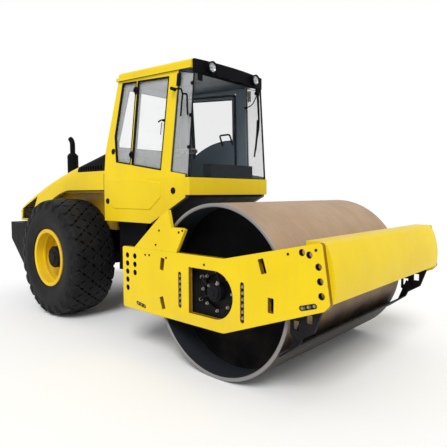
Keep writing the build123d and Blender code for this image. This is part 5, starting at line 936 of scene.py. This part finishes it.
# bowl: height foot + depth t^2 at t radii; lens: edge + crown (1 - s^2) + rib cos(turns s) at s radii
def addLamps():
    look = lamps
    radius = look["radius"]
    t = np.linspace(look["bowlHole"], 1, look["bowlSteps"])
    inside = np.stack([radius * t, look["bowlFoot"] + look["bowlDepth"] * t**2], -1)
    bowl = np.concatenate([inside, (inside - (0, look["bowlWall"]))[::-1], inside[:1]])
    s = np.linspace(1, 0, look["lensSteps"])
    crown = look["lensEdge"] + look["lensCrown"] * (1 - s**2) + look["rib"] * np.cos(s * look["ribTurns"])
    foot = [(0, look["lensFoot"]), (radius, look["lensFoot"])]
    lens = np.concatenate([foot, np.stack([radius * s, crown], -1)])
    places = [(axleX + look["face"], side * look["y"], look["z"]) for side in sideSign.values()]
    turned = [("lamp_bowls", bowl, look["sides"], "rod", "rod"),
              ("lamp_bulbs", look["bulb"], look["bulbSides"], "lamp", "lamp"),
              ("lamp_lenses", lens, look["sides"], "lamp", "lens")]
    for name, profile, sides, slot, finish in turned:
        shape = repeated(lathe(profile, (0, 0, 0), (1, 0, 0), sides), places)
        addPiece(name, shape, "rear_frame", slot, finish)
    low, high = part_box("rear_lamps")
    face = low[0]
    half, z0, z1 = look["tailHalf"], low[2] + look["tailEdge"], high[2] - look["tailEdge"]
    for number, (shift, finish) in enumerate(look["tail"]):
        panes = []
        for side in sideSign.values():
            y = side * look["tailY"] + side * shift
            corners = [(face, y - half, z0), (face, y + half, z0), (face, y + half, z1), (face, y - half, z1)]
            panes.append(slab(corners, (-1, 0, 0), look["tailDepth"]))
        addPiece("tail_lens_%d" % number, joined(*panes), "rear_frame", "lamp", finish)


# steering wheel on the column's slant: round rim, three drop spokes and a capped boss. A spoke is (out, up)
wheelShape = {"x": 1.750, "y": -0.280, "z": 2.025, "tilt": 12, "radius": 0.144, "rim": 0.014,
              "rimSides": (64, 14), "bossSides": 32,
              "boss": [(0, 0), (0.040, 0), (0.040, 0.012), (0.034, 0.024), (0.018, 0.028), (0, 0.028)],
              "turns": (90, 210, 330), "spoke": [(0.02, 0.012), (0.06, 0.008), (0.11, 0.010), (0.144, 0.014)],
              "spokeRadius": 0.010, "spokeSides": 10, "spokeBend": 0.03}


def addSteeringWheel():
    look = wheelShape
    c, s = cosSin(look["tilt"])
    axis, ahead, aside = np.array([-s, 0, c]), np.array([c, 0, s]), np.array([0, 1, 0])
    centre = np.array([axleX + look["x"], look["y"], look["z"]])
    shapes = [hoop(look["radius"], look["rim"], centre + axis * look["rim"], axis, *look["rimSides"]),
              lathe(look["boss"], centre, axis, look["bossSides"])]
    for turn in look["turns"]:
        c, s = cosSin(turn)
        path = [centre + axis * up + (c * ahead + s * aside) * out for out, up in look["spoke"]]
        shapes.append(tube(bent(path, look["spokeBend"]), look["spokeRadius"], look["spokeSides"]))
    piece = addPiece("wheel_rim", joined(*shapes), "rear_frame", "trim", "grip")
    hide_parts("steering_wheel")


addSeals()
addCabFittings()
addWiper()
addDoorInside()
addLamps()
addSteeringWheel()
print("cab fittings built")

# seat: crowned cushion and back, blown up as cloth from a smaller block, no point moving further than the cap
seatLook = {"cushion": {"centre": (-0.031, -0.280, 1.680), "half": (0.222, 0.232, 0.046)},
            "back": {"centre": (-0.206, -0.280, 1.940), "half": (0.048, 0.232, 0.182)},
            "power": 0.30, "grid": (49, 96), "sharp": 180, "voxel": 0.006, "pressure": 4.0, "frames": 20,
            "cap": 0.024}


# superellipsoid: half * (sign|cos v|^e sign|cos u|^e, sign|cos v|^e sign|sin u|^e, sign|sin v|^e)
def padBlock(centre, half):
    rows, cols = seatLook["grid"]
    u = np.linspace(0, 2 * np.pi, cols, endpoint=False)
    u, v = np.meshgrid(u, np.linspace(-np.pi / 2, np.pi / 2, rows))

    def power(value):
        return np.sign(value) * np.abs(value) ** seatLook["power"]
    across = power(np.cos(v))
    grid = np.stack([across * power(np.cos(u)), across * power(np.sin(u)), power(np.sin(v))], -1)
    return (np.asarray(centre) + grid * half).reshape(-1, 3), [gridFaces(rows, cols, ringCols=True)]


def appliedMesh(piece):
    mesh = bpy.data.meshes.new_from_object(piece.evaluated_get(bpy.context.evaluated_depsgraph_get()))
    piece.modifiers.clear()
    return mesh


def meshPoints(mesh):
    points = np.empty(len(mesh.vertices) * 3)
    mesh.vertices.foreach_get("co", points)
    return points.reshape(-1, 3)


# remeshed in voxels, blown up as cloth under pressure, each move held to the cap, then divided once
def blowUp(piece):
    scene = bpy.context.scene
    remesh = piece.modifiers.new("remesh", "REMESH")
    remesh.mode = "VOXEL"
    remesh.voxel_size = seatLook["voxel"]
    piece.data = appliedMesh(piece)
    start = meshPoints(piece.data)
    cloth = piece.modifiers.new("cloth", "CLOTH")
    cloth.settings.use_pressure = True
    cloth.settings.uniform_pressure_force = seatLook["pressure"]
    cloth.settings.effector_weights.gravity = 0
    for number in range(1, seatLook["frames"] + 1):
        scene.frame_set(number)
    move = meshPoints(appliedMesh(piece)) - start
    scene.frame_set(1)
    length = np.linalg.norm(move, axis=1, keepdims=True)
    move *= np.minimum(1, seatLook["cap"] / np.maximum(length, 1e-9))
    piece.data.vertices.foreach_set("co", (start + move).ravel())
    piece.data.update()
    piece.data.shade_smooth()
    if not piece.data.materials:
        piece.data.materials.append(materials["seat"])
    smooth = piece.modifiers.new("smooth", "SUBSURF")
    smooth.levels = smooth.render_levels = 1


def addPad(name, node, look):
    piece = addPiece(name, padBlock(**look), "rear_frame", "seat", sharp=seatLook["sharp"])
    blowUp(piece)
    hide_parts(node)


addPad("seat_pad", "seat_cushion", seatLook["cushion"])
addPad("back_pad", "seat_back", seatLook["back"])
print("seat built")

# camera where the photograph was taken: level bearing, downward tilt and a trace of roll, in degrees
viewpoint = {"place": (4.334, -3.770, 1.583), "bearing": 42.18, "tilt": 3.89, "roll": -0.16,
             "lens": 36.0, "sensor": 36.0, "farthest": 200}


def addCamera():
    bearing, tilt, roll = (math.radians(viewpoint[key]) for key in ("bearing", "tilt", "roll"))
    level = Vector((math.cos(bearing), math.sin(bearing), 0))
    flat, down = math.cos(tilt), math.sin(tilt)
    forward = Vector((-math.sin(bearing) * flat, math.cos(bearing) * flat, -down))
    upright = level.cross(forward)
    right = math.cos(roll) * level + math.sin(roll) * upright
    up = right.cross(forward)
    turned = Matrix((right, up, -forward)).transposed().to_4x4()
    data = bpy.data.cameras.new("camera")
    data.lens = viewpoint["lens"]
    data.sensor_width = viewpoint["sensor"]
    data.clip_end = viewpoint["farthest"]
    camera = bpy.data.objects.new("camera", data)
    camera.matrix_world = Matrix.Translation(viewpoint["place"]) @ turned
    bpy.context.scene.collection.objects.link(camera)
    bpy.context.scene.camera = camera


# soft light: a pale sky all round that camera, glossy and transmitted rays see as white, a broad sun from the
# near side and a floor that reads as white paper
studio = {"sky": 0.62, "backdrop": 1.0, "sun": 2.1, "sunFrom": (0.48, -0.68, 0.80), "sunSoft": 25,
          "floorSize": 60.0, "floorColour": (0.97, 0.97, 0.97), "floorTone": (0.95, 0.95, 0.95),
          "floorTones": (0.6, 3.0), "floorRough": 0.9}


def addSky():
    world = bpy.data.worlds.new("sky")
    bpy.context.scene.world = world
    world.use_nodes = True
    tree = world.node_tree
    tree.nodes.clear()
    rays = addNode(tree, "ShaderNodeLightPath").outputs
    seen = math2(tree, "MAXIMUM", rays["Is Camera Ray"], rays["Is Transmission Ray"])
    seen = math2(tree, "MAXIMUM", seen, rays["Is Glossy Ray"])
    white = asColour((1, 1, 1))
    lit, shown = (addNode(tree, "ShaderNodeBackground", {"Color": white, "Strength": strength}).outputs[0]
                  for strength in (studio["sky"], studio["backdrop"]))
    mix = addNode(tree, "ShaderNodeMixShader", {0: seen, 1: lit, 2: shown}).outputs[0]
    addNode(tree, "ShaderNodeOutputWorld", {0: mix})


def addSun():
    sun = bpy.data.lights.new("sun", "SUN")
    sun.energy = studio["sun"]
    sun.angle = math.radians(studio["sunSoft"])
    lamp = bpy.data.objects.new("sun", sun)
    lamp.rotation_euler = Vector(studio["sunFrom"]).to_track_quat("Z", "Y").to_euler()
    bpy.context.scene.collection.objects.link(lamp)


def addFloor():
    half = studio["floorSize"] / 2
    mesh = bpy.data.meshes.new("floor")
    corners = [(-half, -half, 0), (half, -half, 0), (half, half, 0), (-half, half, 0)]
    mesh.from_pydata(corners, [], [(0, 1, 2, 3)])
    floor = bpy.data.objects.new("floor", mesh)
    bpy.context.scene.collection.objects.link(floor)
    material, tree, shader, place = startMaterial("floorFinish")
    tone = noise(tree, place["Object"], *studio["floorTones"])
    setInputs(tree, shader, {"Base Color": mixColour(tree, tone, studio["floorColour"], studio["floorTone"]),
                             "Roughness": studio["floorRough"]})
    mesh.materials.append(material)


addCamera()
addSky()
addSun()
addFloor()
bpy.context.scene.view_settings.view_transform = "Standard"
print("camera and light set")

bpy.context.view_layer.update()
